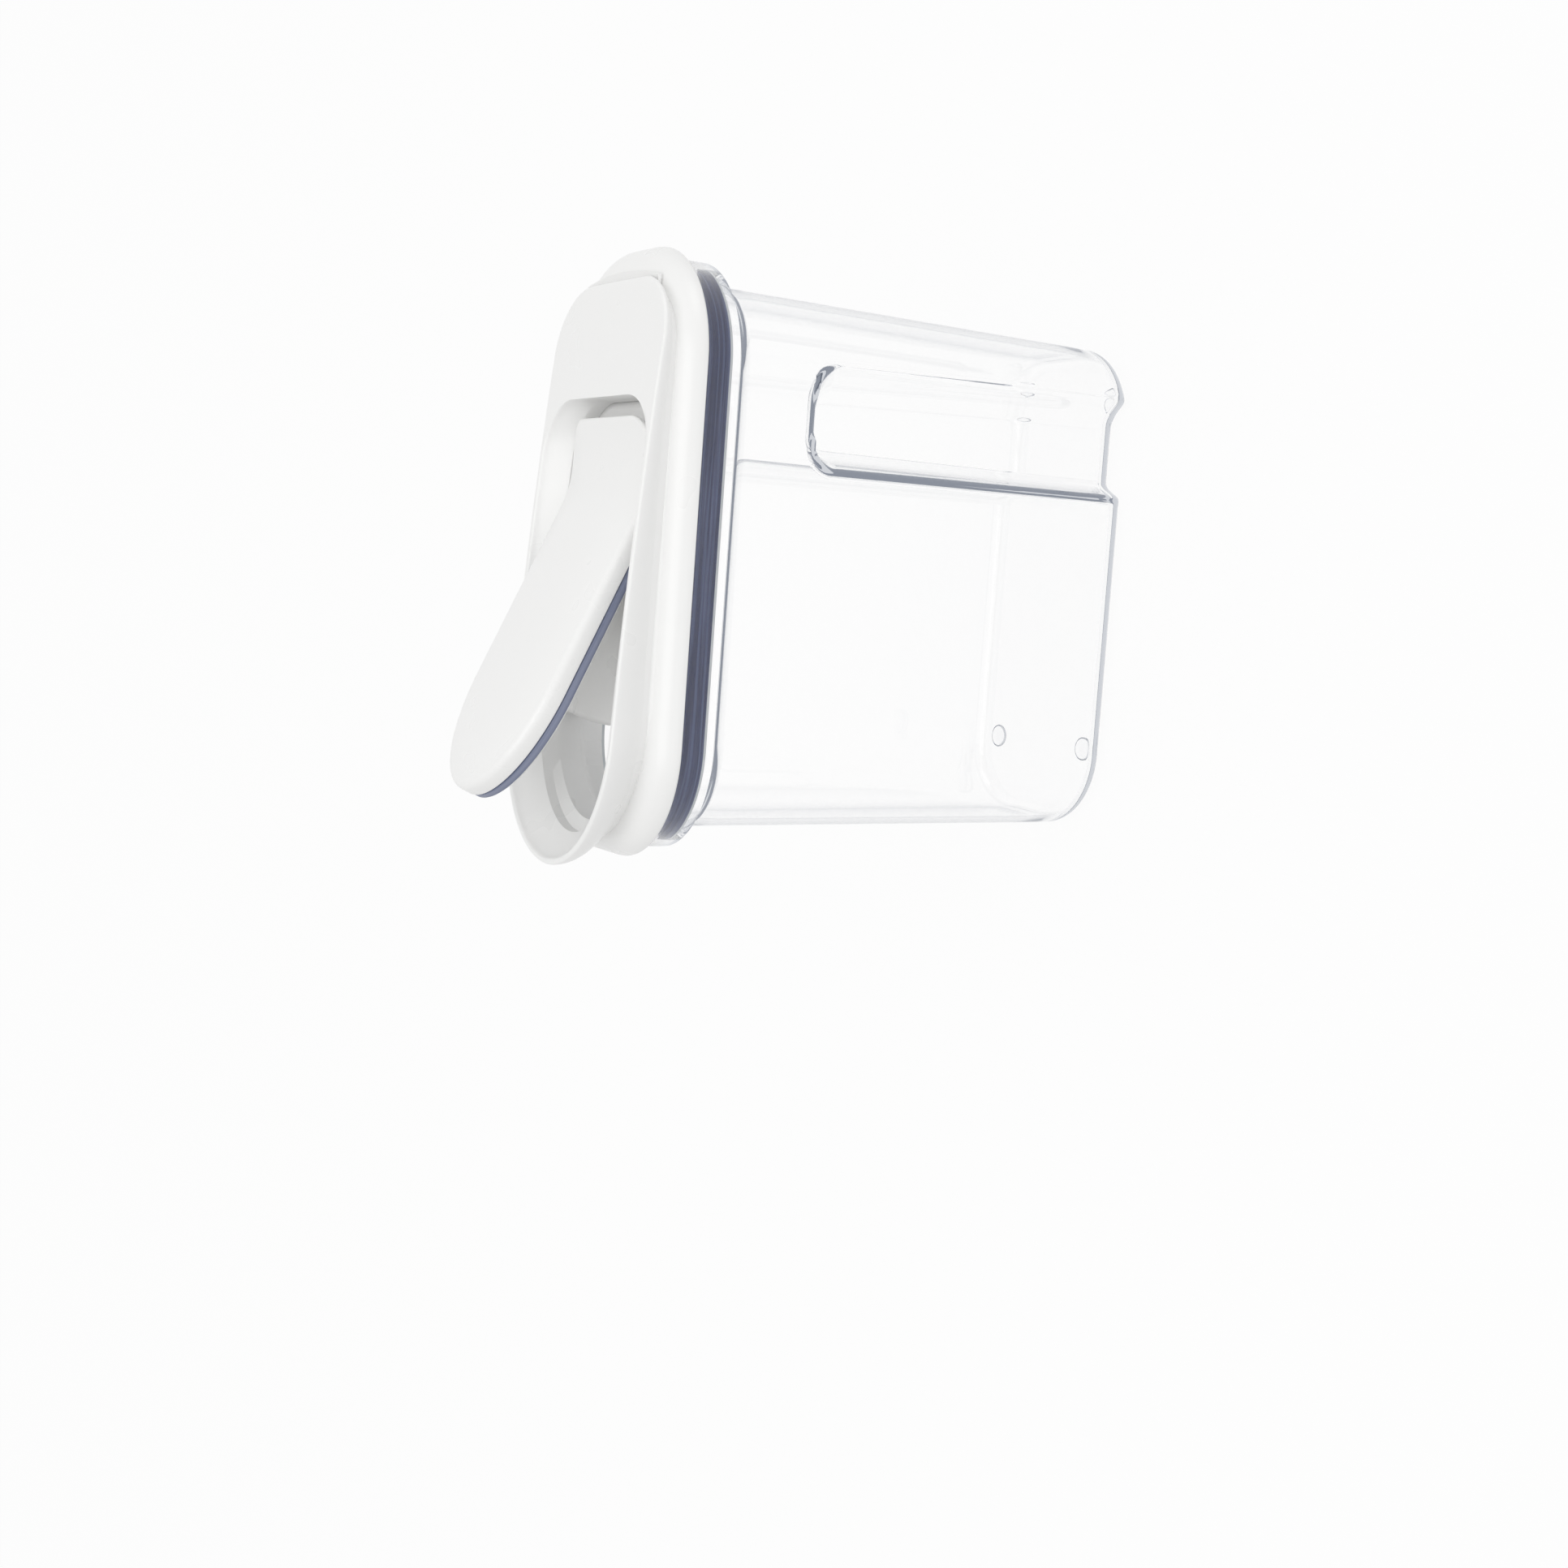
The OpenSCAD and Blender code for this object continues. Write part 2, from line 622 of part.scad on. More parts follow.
module hinge_pin_left() { hinge_pin(1); }
module hinge_pin_right() { hinge_pin(-1); }

container_body();
foot_rear_left();
foot_rear_right();
foot_front_left();
foot_front_right();
lid_frame();
lid_hood();
lid_base();
channel_floor();
lid_gasket();
gasket_retainer();
rear_tab();
hinge_ear_left();
hinge_ear_right();
flip_shell();
flip_gasket();
flip_plug();
hinge_pin_left();
hinge_pin_right();
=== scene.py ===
import json
import math

import bmesh
import bpy
from bpy.props import FloatProperty, FloatVectorProperty, PointerProperty
from mathutils import Matrix, Vector


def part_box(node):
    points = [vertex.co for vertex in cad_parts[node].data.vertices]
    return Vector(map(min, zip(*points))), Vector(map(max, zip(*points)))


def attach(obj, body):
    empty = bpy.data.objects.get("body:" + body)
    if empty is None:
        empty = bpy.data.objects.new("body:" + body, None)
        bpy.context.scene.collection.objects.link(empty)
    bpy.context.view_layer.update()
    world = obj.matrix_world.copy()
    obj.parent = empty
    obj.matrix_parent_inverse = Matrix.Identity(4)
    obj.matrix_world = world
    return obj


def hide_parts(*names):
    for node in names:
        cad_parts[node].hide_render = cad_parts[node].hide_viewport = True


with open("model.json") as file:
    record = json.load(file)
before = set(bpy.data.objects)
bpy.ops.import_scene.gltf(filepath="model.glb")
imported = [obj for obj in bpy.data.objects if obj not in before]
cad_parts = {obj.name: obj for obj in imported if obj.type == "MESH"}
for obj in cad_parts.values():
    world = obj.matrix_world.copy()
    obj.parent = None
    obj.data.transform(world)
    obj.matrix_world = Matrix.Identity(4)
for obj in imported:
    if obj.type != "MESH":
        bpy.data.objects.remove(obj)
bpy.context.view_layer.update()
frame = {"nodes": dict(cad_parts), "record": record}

bl_info = {
    "name": "Cereal container with flip spout",
    "version": (1, 0, 0),
    "blender": (4, 5, 0),
    "location": "View3D > Sidebar > Container",
    "description": "Builds the clear tub, the white spout lid, its seals and the rocking tongue",
    "category": "Object",
}

MM = 0.001
# Faces that meet at more than this angle keep a crisp edge
SHARP = math.radians(38)
TUB_LOW, TUB_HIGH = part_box("container_body")
LID_LOW, LID_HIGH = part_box("lid_frame")
HOOD_LOW, HOOD_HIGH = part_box("lid_hood")
PLATE_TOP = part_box("lid_base")[1][2]
SEAL_LOW, SEAL_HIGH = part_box("lid_gasket")
RING_LOW, RING_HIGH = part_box("gasket_retainer")
# The middle of the tub and lid, the height of the mouth and that of the lid's lower edge
MID = (LID_LOW[0] + LID_HIGH[0]) / 2
MOUTH = TUB_HIGH[2]
SEAM = LID_LOW[2]
TONGUE_JOINT = next(j for j in frame["record"]["behaviour"]["joints"] if j["name"] == "flip_rock")
HINGE = Vector(TONGUE_JOINT["pos_m"])
# Each lamp's name, its place and side in metres, and its power in watts
LAMPS = (
    ("key_lamp", (0.0, 0.7, 1.6), 1.1, 5.4),
    ("rear_lamp", (-1.4, 0.6, 0.5), 0.8, 2.4),
    ("side_lamp", (0.35, 1.5, 0.45), 1.0, 1.5),
)


def linear(hex_colour):
    """Turns an sRGB hex colour into the linear numbers that shaders use."""
    parts = [int(hex_colour[i:i + 2], 16) / 255 for i in (1, 3, 5)]
    return tuple(c / 12.92 if c <= 0.04045 else ((c + 0.055) / 1.055) ** 2.4 for c in parts)


def length(name, description, default):
    """A size in metres."""
    return FloatProperty(name=name, description=description, default=default, unit="LENGTH",
                         subtype="DISTANCE")


def colour(name, description, default):
    """A surface colour, given as sRGB hex."""
    return FloatVectorProperty(name=name, description=description, default=linear(default), subtype="COLOR",
                               size=3, min=0.0, max=1.0)


class TubSettings(bpy.types.PropertyGroup):
    """Sizes of the clear tub."""
    base_len: length("Base length", "Length of the base", 203.5 * MM)
    base_wid: length("Base width", "Width of the base", 88 * MM)
    base_r: length("Base corner", "Corner radius of the base in plan", 32 * MM)
    neck_len: length("Neck length", "Length just below the collar", 211 * MM)
    neck_wid: length("Neck width", "Width just below the collar", 94 * MM)
    neck_r: length("Neck corner", "Corner radius below the collar in plan", 38 * MM)
    collar_len: length("Collar length", "Length of the collar", TUB_HIGH[0] - TUB_LOW[0])
    collar_wid: length("Collar width", "Width of the collar", TUB_HIGH[1] - TUB_LOW[1])
    collar_r: length("Collar corner", "Corner radius of the collar in plan", 41.8 * MM)
    collar_h: length("Collar height", "Height of the straight collar", 14.6 * MM)
    blend_h: length("Collar blend", "Height over which the tub widens to the collar", 7 * MM)
    ledge: length("Collar ledge", "Depth of the ledge under the collar", 0.9 * MM)
    wall: length("Wall", "Thickness of the walls", 2.4 * MM)
    floor: length("Floor", "Thickness of the floor", 3 * MM)
    edge_r: length("Base edge", "Radius of the rounded edge round the base", 6 * MM)
    grip_y: length("Grip floor", "Distance of each grip's floor from the middle plane", 34.5 * MM)
    grip_front: length("Grip front", "Position of the front edge of the grips", -38.8 * MM)
    grip_rear: length("Grip rear", "Position of the rear edge of the grips at their top", -74.8 * MM)
    grip_depth: length("Grip depth", "Depth of the grips at the base", 9.5 * MM)
    grip_front_slope: length("Front slope", "Length over which the grips' front slopes", 4.5 * MM)
    grip_rear_slope: length("Rear slope", "Length over which the grips' rear slopes", 8 * MM)
    grip_roof_slope: length("Roof slope", "Height over which the grips' roof slopes", 5 * MM)
    grip_spread: length("Grip spread", "Extra width of the grips at the base", 5 * MM)
    grip_top: length("Grip top", "Distance from the mouth down to the grips", 51.6 * MM)
    grip_r: length("Grip corner", "Corner radius at the top of the grips", 11 * MM)
    grip_hollow: length("Grip hollow", "Rounding where the grips' floor meets their slopes", 5 * MM)
    grip_edge: length("Grip edge", "Rounding where the grips meet the walls", 2.4 * MM)
    least_r: length("Least corner", "Least corner radius of the inner walls in plan", 6 * MM)
    lip_r: length("Mouth edge", "Radius of the mouth's edges", 0.9 * MM)
    foot_gap: length("Foot gap", "Gap between each foot and the base", 0.02 * MM)
    foot_sole: FloatProperty(name="Foot sole", description="Radius of a foot's flat sole, as a share",
                             default=0.55, min=0.0, max=1.0)


class LidSettings(bpy.types.PropertyGroup):
    """Sizes of the white lid."""
    len: length("Lid length", "Length of the lid", LID_HIGH[0] - LID_LOW[0])
    wid: length("Lid width", "Width of the lid", LID_HIGH[1] - LID_LOW[1])
    r: length("Lid corner", "Corner radius of the lid in plan", 45.5 * MM)
    dome_w: length("Rim width", "Width of the domed rim", 12 * MM)
    dome_h: length("Rim height", "Height of the domed rim above its lower edge", LID_HIGH[2] - LID_LOW[2])
    rim_edge: length("Rim edge", "Height of the soft lower edge of the rim", 0.6 * MM)
    rim_side: length("Rim side", "Width of the rim's steep outer part", 4 * MM)
    rim_inside: length("Rim inside", "Height of the rim's inner face above its lower edge", 4 * MM)
    fillet: length("Fillet", "Size of the fillet between the rim and the hood", 4.5 * MM)
    wall: length("Wall", "Thickness of the lid's mouldings", 2.2 * MM)
    crown_rear: length("Crown rear", "Height of the hood above the mouth at its rear", 14.8 * MM)
    crown_front: length("Crown front", "Height of the spout above the mouth at its tip", 29.7 * MM)
    crown_bulge: length("Crown bulge", "Rise of the top line above a straight one", 2.4 * MM)
    foot_inset: length("Foot inset", "How far the foot of the hood stands in", 5.9 * MM)
    nose_inset: length("Spout inset", "How far the foot of the spout stands in", 14.5 * MM)
    rear_r: length("Hood corner", "Corner radius of the hood at the rear", 26 * MM)
    nose_len: length("Spout length", "Length of the rounded end of the spout", 54 * MM)
    lip: length("Lip", "Width of the lip round the channel", 2.4 * MM)
    channel_rear: length("Channel rear", "Position of the rear end of the channel", -59 * MM)
    channel_r: length("Channel corner", "Corner radius of the channel at the rear", 22 * MM)
    channel_half: length("Channel half width", "Half width below the dished sides", 38.7 * MM)
    channel_front: length("Channel front", "Front of the channel below the dish", 109.5 * MM)
    throat_front: length("Throat front", "Front of the throat", 104.5 * MM)
    dish: length("Dish depth", "Depth at which the dished sides turn upright", 10 * MM)
    seat: length("Seat depth", "Depth at which the channel starts to narrow", 14 * MM)
    throat: length("Throat depth", "Depth at which it has narrowed", 17 * MM)
    deck_front: length("Deck front", "Position of the deck's front edge", 64 * MM)
    deck_bow: length("Deck bow", "How far the deck's front edge bows forward", 3 * MM)
    deck_low: length("Deck rear height", "Height of the deck above the mouth, rear", 4 * MM)
    deck_high: length("Deck front height", "Height of the deck above the mouth, front", 8.6 * MM)
    deck_t: length("Deck thickness", "Thickness of the deck", 2 * MM)
    deck_gap: length("Deck gap", "Gap between the deck and the channel's walls", 0.1 * MM)
    deck_rise: length("Deck rise", "How far the deck's sides rise at the front", 3 * MM)
    rise_start: length("Rise start", "Position where the deck's sides start to rise", 20 * MM)
    rise_len: length("Rise length", "Length over which the rise grows", 30 * MM)
    crown_r: length("Crown edge", "Radius of the hood's top edge", 1 * MM)
    lip_r: length("Lip edge", "Depth of the soft inner edge of the lip", 1 * MM)
    seal_t: length("Seal thickness", "Thickness of the mouth's seal", 3.2 * MM)
    rib: length("Rib depth", "Depth of the grooves between the seal's ribs", 0.35 * MM)
    ring_t: length("Ring lap", "How far the clamp ring reaches in past the seal", 2 * MM)
    ring_edge: length("Ring edge", "Bevel of the clamp ring's lower edge", 0.3 * MM)
    tab_border: length("Tab border", "Width of the border round the tab's top", 1.1 * MM)
    tab_sink: length("Tab sink", "Depth of the tab's top in its border", 0.6 * MM)
    tab_edge: length("Tab edge", "Bevel of the tab's edges", 0.15 * MM)


class TongueSettings(bpy.types.PropertyGroup):
    """Sizes of the rocking tongue and what is under it."""
    front: length("Front", "Distance from the hinge to the tip", 121.9 * MM)
    rear: length("Rear", "Distance from the hinge to the rear end", 31.4 * MM)
    half_w: length("Half width", "Half width of the tongue", 36.5 * MM)
    nose_len: length("Nose length", "Length of the rounded front end", 46 * MM)
    edge_t: length("Edge thickness", "Thickness at the edge", 7.2 * MM)
    edge_r: length("Edge radius", "Radius of the top edge", 3 * MM)
    camber: length("Camber", "Rise from the edge to the middle line", 3 * MM)
    curl_r: length("Curl radius", "Radius of the curled rear part", 40 * MM)
    rear_r: length("Rear corner", "Corner radius at the rear end", 15 * MM)
    wall: length("Wall", "Wall thickness of the shell", 1.8 * MM)
    seal_h: length("Seal height", "Height of the seal", 3.7 * MM)
    plate_t: length("Plate thickness", "Thickness of the plate under the seal", 0.7 * MM)
    seal_rear: length("Seal rear", "Distance from the hinge to the rear of the seal", 12 * MM)
    seal_r: length("Seal corner", "Corner radius at the rear of the seal", 6 * MM)
    slope: FloatProperty(name="Open slope", description="Slope of the open tongue",
                         default=math.radians(24.8), unit="ROTATION", subtype="ANGLE")


class FinishSettings(bpy.types.PropertyGroup):
    """Colours of the mouldings and seals."""
    clear: colour("Clear plastic", "Tint of the clear plastic", "#FFFFFF")
    white: colour("White plastic", "Colour of the white mouldings", "#FAFAF9")
    navy: colour("Lid seal", "Colour of the seal in the mouth", "#1A2858")
    slate: colour("Tongue seal", "Colour of the seal under the tongue", "#727A94")
    # These streak colours are painted highlights along the seals
    navy_painted_highlight: colour("Lid seal streaks", "Colour of the streaks in the mouth's seal", "#56628A")
    slate_painted_highlight: colour("Tongue seal streaks", "Colour of the streaks in the tongue's seal", "#8A90A6")
    pale: colour("Clamp ring", "Colour of the ring under the lid seal", "#D5DADD")


class StageSettings(bpy.types.PropertyGroup):
    """Camera, floor and lamps."""
    eye: FloatVectorProperty(name="Camera place", description="Place of the camera from the lid's middle",
                             default=(0.0100, 0.7767, 0.3787), unit="LENGTH", subtype="TRANSLATION")
    aim: FloatVectorProperty(name="Camera aim", description="Direction that the camera looks in",
                             default=(0.0875, -0.8598, -0.5032), subtype="DIRECTION")
    right: FloatVectorProperty(name="Camera right", description="Direction to the right of the picture",
                               default=(-0.0719, 0.4983, -0.8640), subtype="DIRECTION")
    lens: FloatProperty(name="Focal length", description="Focal length in millimetres on a 36 mm sensor",
                        default=50.31)
    floor_size: length("Floor size", "Side of the floor", 12.0)
    floor_drop: length("Floor drop", "Depth of the floor below the feet", 0.5 * MM)
    lamp_aim: length("Lamp aim", "Height over the origin at which the lamps are aimed", 0.12)
    glow: FloatProperty(name="Floor glow", description="Share of plain white in the floor as it is seen",
                        default=0.95, min=0.0, max=1.0)
    fill: FloatProperty(name="Sky fill", description="Strength of the sky as a light", default=0.67)


def mix(a, b, t):
    """A value between a and b."""
    return a + (b - a) * t


def soft_step(t):
    """Rises smoothly from 0 to 1."""
    t = min(max(t, 0.0), 1.0)
    return t * t * (3 - 2 * t)


def soft_min(a, b, r):
    """The lower of two values, rounded where they meet."""
    h = max(r - abs(a - b), 0.0) / r
    return min(a, b) - h * h * r / 4


def between(one, other, t):
    """A line between two lines with equally many points."""
    return [(mix(a[0], b[0], t), mix(a[1], b[1], t)) for a, b in zip(one, other)]


def spread(points, count):
    """Points along a line at even steps."""
    marks = [0.0]
    for a, b in zip(points, points[1:]):
        marks.append(marks[-1] + math.dist(a, b))
    result = []
    k = 0
    for i in range(count + 1):
        goal = marks[-1] * i / count
        while k < len(points) - 2 and marks[k + 1] < goal:
            k += 1
        span = marks[k + 1] - marks[k]
        t = (goal - marks[k]) / span if span else 0.0
        result.append((mix(points[k][0], points[k + 1][0], t), mix(points[k][1], points[k + 1][1], t)))
    return result


def split_at(points, places):
    """Cuts a line, along which x falls, at some positions of x."""
    parts = []
    rest = list(points)
    for x in places:
        k = next(i for i, p in enumerate(rest) if p[0] < x)
        a, b = rest[k - 1], rest[k]
        cut = (x, mix(a[1], b[1], (a[0] - x) / (a[0] - b[0])))
        parts.append(rest[:k] + [cut])
        rest = [cut] + rest[k:]
    return parts + [rest]


def outline_parts(x0, x1, half_w, rear, front):
    """An outline's left half in three parts: its front end, its side and its rear end."""
    turns = [math.pi / 2 * i / 48 for i in range(49)]
    nose = [(x1, 0.0)]
    nose += [(x1 - front[0] * (1 - math.cos(a)), half_w - front[1] * (1 - math.sin(a))) for a in turns]
    tail = [(x0 + rear[0] * (1 - math.cos(a)), half_w - rear[1] * (1 - math.sin(a))) for a in reversed(turns)]
    tail.append((x0, 0.0))
    return nose, [nose[-1], tail[0]], tail


def half_outline(x0, x1, half_w, rear, front):
    """An outline's left half from front to rear, with a fixed number of points in each part."""
    nose, side, tail = outline_parts(x0, x1, half_w, rear, front)
    return spread(nose, 50) + spread(side, 36)[1:] + spread(tail, 36)[1:]


def mirrored(half):
    """A closed outline, from its left half."""
    return half + [(x, -y) for x, y in reversed(half[1:-1])]


def full_ring(half, height):
    """A closed ring about the middle plane. height is a number, or a function of x and y."""
    return [(MID + x, y, height(x, y) if callable(height) else height) for x, y in mirrored(half)]


def sweep(bm, rings, closed):
    """Extrudes a circle of edges through the rings, and returns its first and last loops of vertices.

    Edges are gathered in a dict, which keeps their order, so that each run gives the same mesh.
    """
    verts = bmesh.ops.create_circle(bm, cap_ends=False, radius=1.0, segments=len(rings[0]))["verts"]
    first = verts
    edges = list(dict.fromkeys(e for v in verts for e in v.link_edges))
    for v, p in zip(verts, rings[0]):
        v.co = p
    for ring in rings[1:]:
        made = bmesh.ops.extrude_edge_only(bm, edges=edges)["geom"]
        fresh = {g for g in made if isinstance(g, bmesh.types.BMVert)}
        edges = [g for g in made if isinstance(g, bmesh.types.BMEdge)
                 and g.verts[0] in fresh and g.verts[1] in fresh]
        verts = [next(e.other_vert(v) for e in v.link_edges if e.other_vert(v) in fresh) for v in verts]
        for v, p in zip(verts, ring):
            v.co = p
    if closed:
        around = [e for v in first for e in v.link_edges if e.is_boundary] + edges
        bmesh.ops.bridge_loops(bm, edges=list(dict.fromkeys(around)))
    return first, verts


def cap(bm, verts):
    """Closes a loop of vertices with a face."""
    loop = set(verts)
    edges = [e for v in verts for e in v.link_edges if e.is_boundary and e.other_vert(v) in loop]
    bmesh.ops.edgeloop_fill(bm, edges=list(dict.fromkeys(edges)))


def finish_piece(bm, name, body, nodes, material):
    """Turns a bmesh into a piece that rides on a body and stands for CAD nodes."""
    bmesh.ops.remove_doubles(bm, verts=bm.verts, dist=1e-7)
    bmesh.ops.recalc_face_normals(bm, faces=bm.faces)
    mesh = bpy.data.meshes.new(name)
    bm.to_mesh(mesh)
    bm.free()
    mesh.shade_smooth()
    mesh.set_sharp_from_angle(angle=SHARP)
    piece = bpy.data.objects.new(name, mesh)
    bpy.context.scene.collection.objects.link(piece)
    mesh.materials.append(material)
    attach(piece, body)
    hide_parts(*nodes)
    return piece


def swept_piece(rings, capped, name, body, nodes, material):
    """Makes a piece from rings, with a face at each end or with its last ring joined to its first."""
    bm = bmesh.new()
    first, last = sweep(bm, rings, closed=not capped)
    if capped:
        cap(bm, first)
        cap(bm, last)
    return finish_piece(bm, name, body, nodes, material)


def add_node(tree, kind, inputs=None, **settings):
    """Adds a node, sets its settings, and sets or links its inputs."""
    node = tree.nodes.new(kind)
    for key, value in settings.items():
        setattr(node, key, value)
    for key, value in (inputs or {}).items():
        if isinstance(value, bpy.types.NodeSocket):
            tree.links.new(value, node.inputs[key])
        else:
            node.inputs[key].default_value = value
    return node


def new_material(name):
    """An empty node material and its output."""
    material = bpy.data.materials.get(name) or bpy.data.materials.new(name)
    material.use_nodes = True
    material.node_tree.nodes.clear()
    return material, material.node_tree


def white_plastic():
    """White ABS, injection-moulded with a satin polish.

    The eye gets an even, opaque white with broad soft highlights. The polish is slightly uneven, and a
    very low ripple from the mould keeps the highlights from looking ruled.
    """
    s = bpy.context.scene.container_finish
    material, tree = new_material("White ABS moulded satin")
    place = add_node(tree, "ShaderNodeTexCoord").outputs["Object"]
    ripple = add_node(tree, "ShaderNodeTexNoise", {"Vector": place, "Scale": 45.0, "Detail": 2.0})
    polish = add_node(tree, "ShaderNodeMapRange",
                      {"Value": ripple.outputs["Fac"], "To Min": 0.24, "To Max": 0.34})
    bump = add_node(tree, "ShaderNodeBump",
                    {"Height": ripple.outputs["Fac"], "Strength": 0.4, "Distance": 0.15 * MM})
    shader = add_node(tree, "ShaderNodeBsdfPrincipled", {
        "Base Color": (*s.white, 1.0), "Roughness": polish.outputs["Result"], "IOR": 1.53,
        "Normal": bump.outputs["Normal"]})
    add_node(tree, "ShaderNodeOutputMaterial", {"Surface": shader.outputs["BSDF"]})
    return material


def clear_plastic():
    """Clear styrene acrylonitrile, injection-moulded in a polished tool.

    The eye gets a glass-clear wall with bright rims and darker lines where it turns edge on. Light that is
    trapped in a wall leaves it after a few turns through a grey way out, which is painted shade in those
    lines, so that no black patches stay there.
    """
    s = bpy.context.scene.container_finish
    material, tree = new_material("Clear SAN moulded polished")
    path = add_node(tree, "ShaderNodeLightPath").outputs
    turned = add_node(tree, "ShaderNodeMath", {0: path["Glossy Depth"], 1: 1.5}, operation="GREATER_THAN")
    deep = add_node(tree, "ShaderNodeMath", {0: path["Ray Depth"], 1: 8.5}, operation="GREATER_THAN")
    spent = add_node(tree, "ShaderNodeMath", {0: turned.outputs[0], 1: deep.outputs[0]}, operation="MAXIMUM")
    shader = add_node(tree, "ShaderNodeBsdfPrincipled", {
        "Base Color": (*s.clear, 1.0), "Roughness": 0.0, "IOR": 1.45, "Transmission Weight": 1.0})
    # The grey tint of this way out is painted shade, which darkens the trapped light where a wall turns edge
    # on
    out = add_node(tree, "ShaderNodeBsdfTransparent", {"Color": (0.62, 0.64, 0.68, 1.0)})
    both = add_node(tree, "ShaderNodeMixShader",
                    {0: spent.outputs[0], 1: shader.outputs["BSDF"], 2: out.outputs["BSDF"]})
    add_node(tree, "ShaderNodeOutputMaterial", {"Surface": both.outputs[0]})
    return material


def silicone_material(name, tint, painted_highlight, roughness, lean=0.0):
    """Silicone rubber, compression-moulded. lean turns its streaks about the Y axis, to lie along the part.

    The eye gets a dull dark band with faint paler streaks along it, which are painted highlights for the
    lighter lines that light leaves along the seal.
    """
    material, tree = new_material(name)
    place = add_node(tree, "ShaderNodeTexCoord").outputs["Object"]
    along = add_node(tree, "ShaderNodeMapping", {
        "Vector": place, "Rotation": (0.0, lean, 0.0), "Scale": (80 * MM, 80 * MM, 1.1 * MM)},
        vector_type="TEXTURE")
    # The noise lays the paler colour along the seal as painted highlight streaks
    streaks = add_node(tree, "ShaderNodeTexNoise",
                       {"Vector": along.outputs["Vector"], "Scale": 1.0, "Detail": 2.0})
    ramp = add_node(tree, "ShaderNodeValToRGB", {"Fac": streaks.outputs["Fac"]})
    ramp.color_ramp.elements[0].position = 0.45
    ramp.color_ramp.elements[0].color = (*tint, 1.0)
    ramp.color_ramp.elements[1].position = 0.65
    ramp.color_ramp.elements[1].color = (*painted_highlight, 1.0)
    shader = add_node(tree, "ShaderNodeBsdfPrincipled", {
        "Base Color": ramp.outputs["Color"], "Roughness": roughness, "IOR": 1.41})
    add_node(tree, "ShaderNodeOutputMaterial", {"Surface": shader.outputs["BSDF"]})
    return material


def pale_ring_plastic():
    """Natural polypropylene, injection-moulded, which looks like pale frosted plastic."""
    s = bpy.context.scene.container_finish
    material, tree = new_material("Natural polypropylene moulded")
    shader = add_node(tree, "ShaderNodeBsdfPrincipled", {
        "Base Color": (*s.pale, 1.0), "Roughness": 0.35, "IOR": 1.49})
    add_node(tree, "ShaderNodeOutputMaterial", {"Surface": shader.outputs["BSDF"]})
    return material


def use_material(names, material):
    """Gives CAD nodes a material."""
    for name in names:
        node = frame["nodes"][name]
        if not node.material_slots:
            node.data.materials.append(material)
        for slot in node.material_slots:
            slot.material = material


def tub_plan(s, z, ledge):
    """Length, width and corner radius of the tub at a height, with a ledge under the collar."""
    neck_z = MOUTH - s.collar_h - s.blend_h
    t = min((z - TUB_LOW[2]) / (neck_z - TUB_LOW[2]), 1.0)
    neck = [mix(s.base_len, s.neck_len, t), mix(s.base_wid, s.neck_wid, t), mix(s.base_r, s.neck_r, t)]
    out = min(max((z - neck_z) / s.blend_h, 0.0), 1.0) ** 2
    step = 2 * ledge * (1 - soft_step((z - (MOUTH - s.collar_h) + MM) / MM))
    collar = (s.collar_len - step, s.collar_wid - step, s.collar_r - step / 2)
    return [mix(a, b, out) for a, b in zip(neck, collar)]


def grip_widening(s, z, grow):
    """How much further back a grip reaches at a height than at its top."""
    top = MOUTH - s.grip_top + grow - s.grip_r
    return max(s.grip_spread * (1 - (z - TUB_LOW[2]) / (top - TUB_LOW[2])), 0.0)


def grip_limit(s, x, z, grow):
    """How far out the tub may reach beside a grip, grown by a wall."""
    floor_y = s.grip_y - grow
    top = MOUTH - s.grip_top + grow
    side = min(max(0.0, z - (top - s.grip_r)), s.grip_r)
    bend = s.grip_r - math.sqrt(s.grip_r ** 2 - side ** 2)
    front = s.grip_front + grow - s.grip_front_slope - bend
    rear = s.grip_rear - grow + s.grip_rear_slope + bend - grip_widening(s, z, grow)
    limit = floor_y
    for over, slope in ((x - front, s.grip_front_slope), (rear - x, s.grip_rear_slope),
                        (z - top + s.grip_roof_slope, s.grip_roof_slope)):
        limit = -soft_min(-limit, -(floor_y + over * s.grip_depth / slope), s.grip_hollow)
    return limit


def tub_ring(s, z, inset, grow, drop=0.0):
    """One ring of the tub's surface, with the grips pressed in. Its points keep to the grips' edges.

    grow is how far the grips' surface stands behind the outer one, and drop lowers the ring.
    """
    size_l, size_w, r = tub_plan(s, z, 0.0 if grow else s.ledge)
    half_l = size_l / 2 - inset
    half_w = size_w / 2 - inset
    r = max(r - inset, s.least_r)
    front = s.grip_front + grow
    rear = s.grip_rear - grow - grip_widening(s, z, grow)
    outside, inside = 3 * MM, 4 * MM
    places = (front + outside, front - s.grip_front_slope - inside,
              rear + s.grip_rear_slope + inside, rear - outside)
    nose, side, tail = outline_parts(-half_l, half_l, half_w, (r, r), (r, r))
    half = spread(nose, 40)
    for part, count in zip(split_at(side + tail[1:], places), (18, 22, 22, 26, 26)):
        half += spread(part, count)[1:]
    # Only the broad sides are pressed in, and the ends near the middle plane are left
    flank = 15 * MM
    back = grow - inset
    pressed = [(x, soft_min(y, grip_limit(s, x, z, grow) + back, s.grip_edge)) if y > flank else (x, y)
               for x, y in half]
    return full_ring(pressed, z - drop)


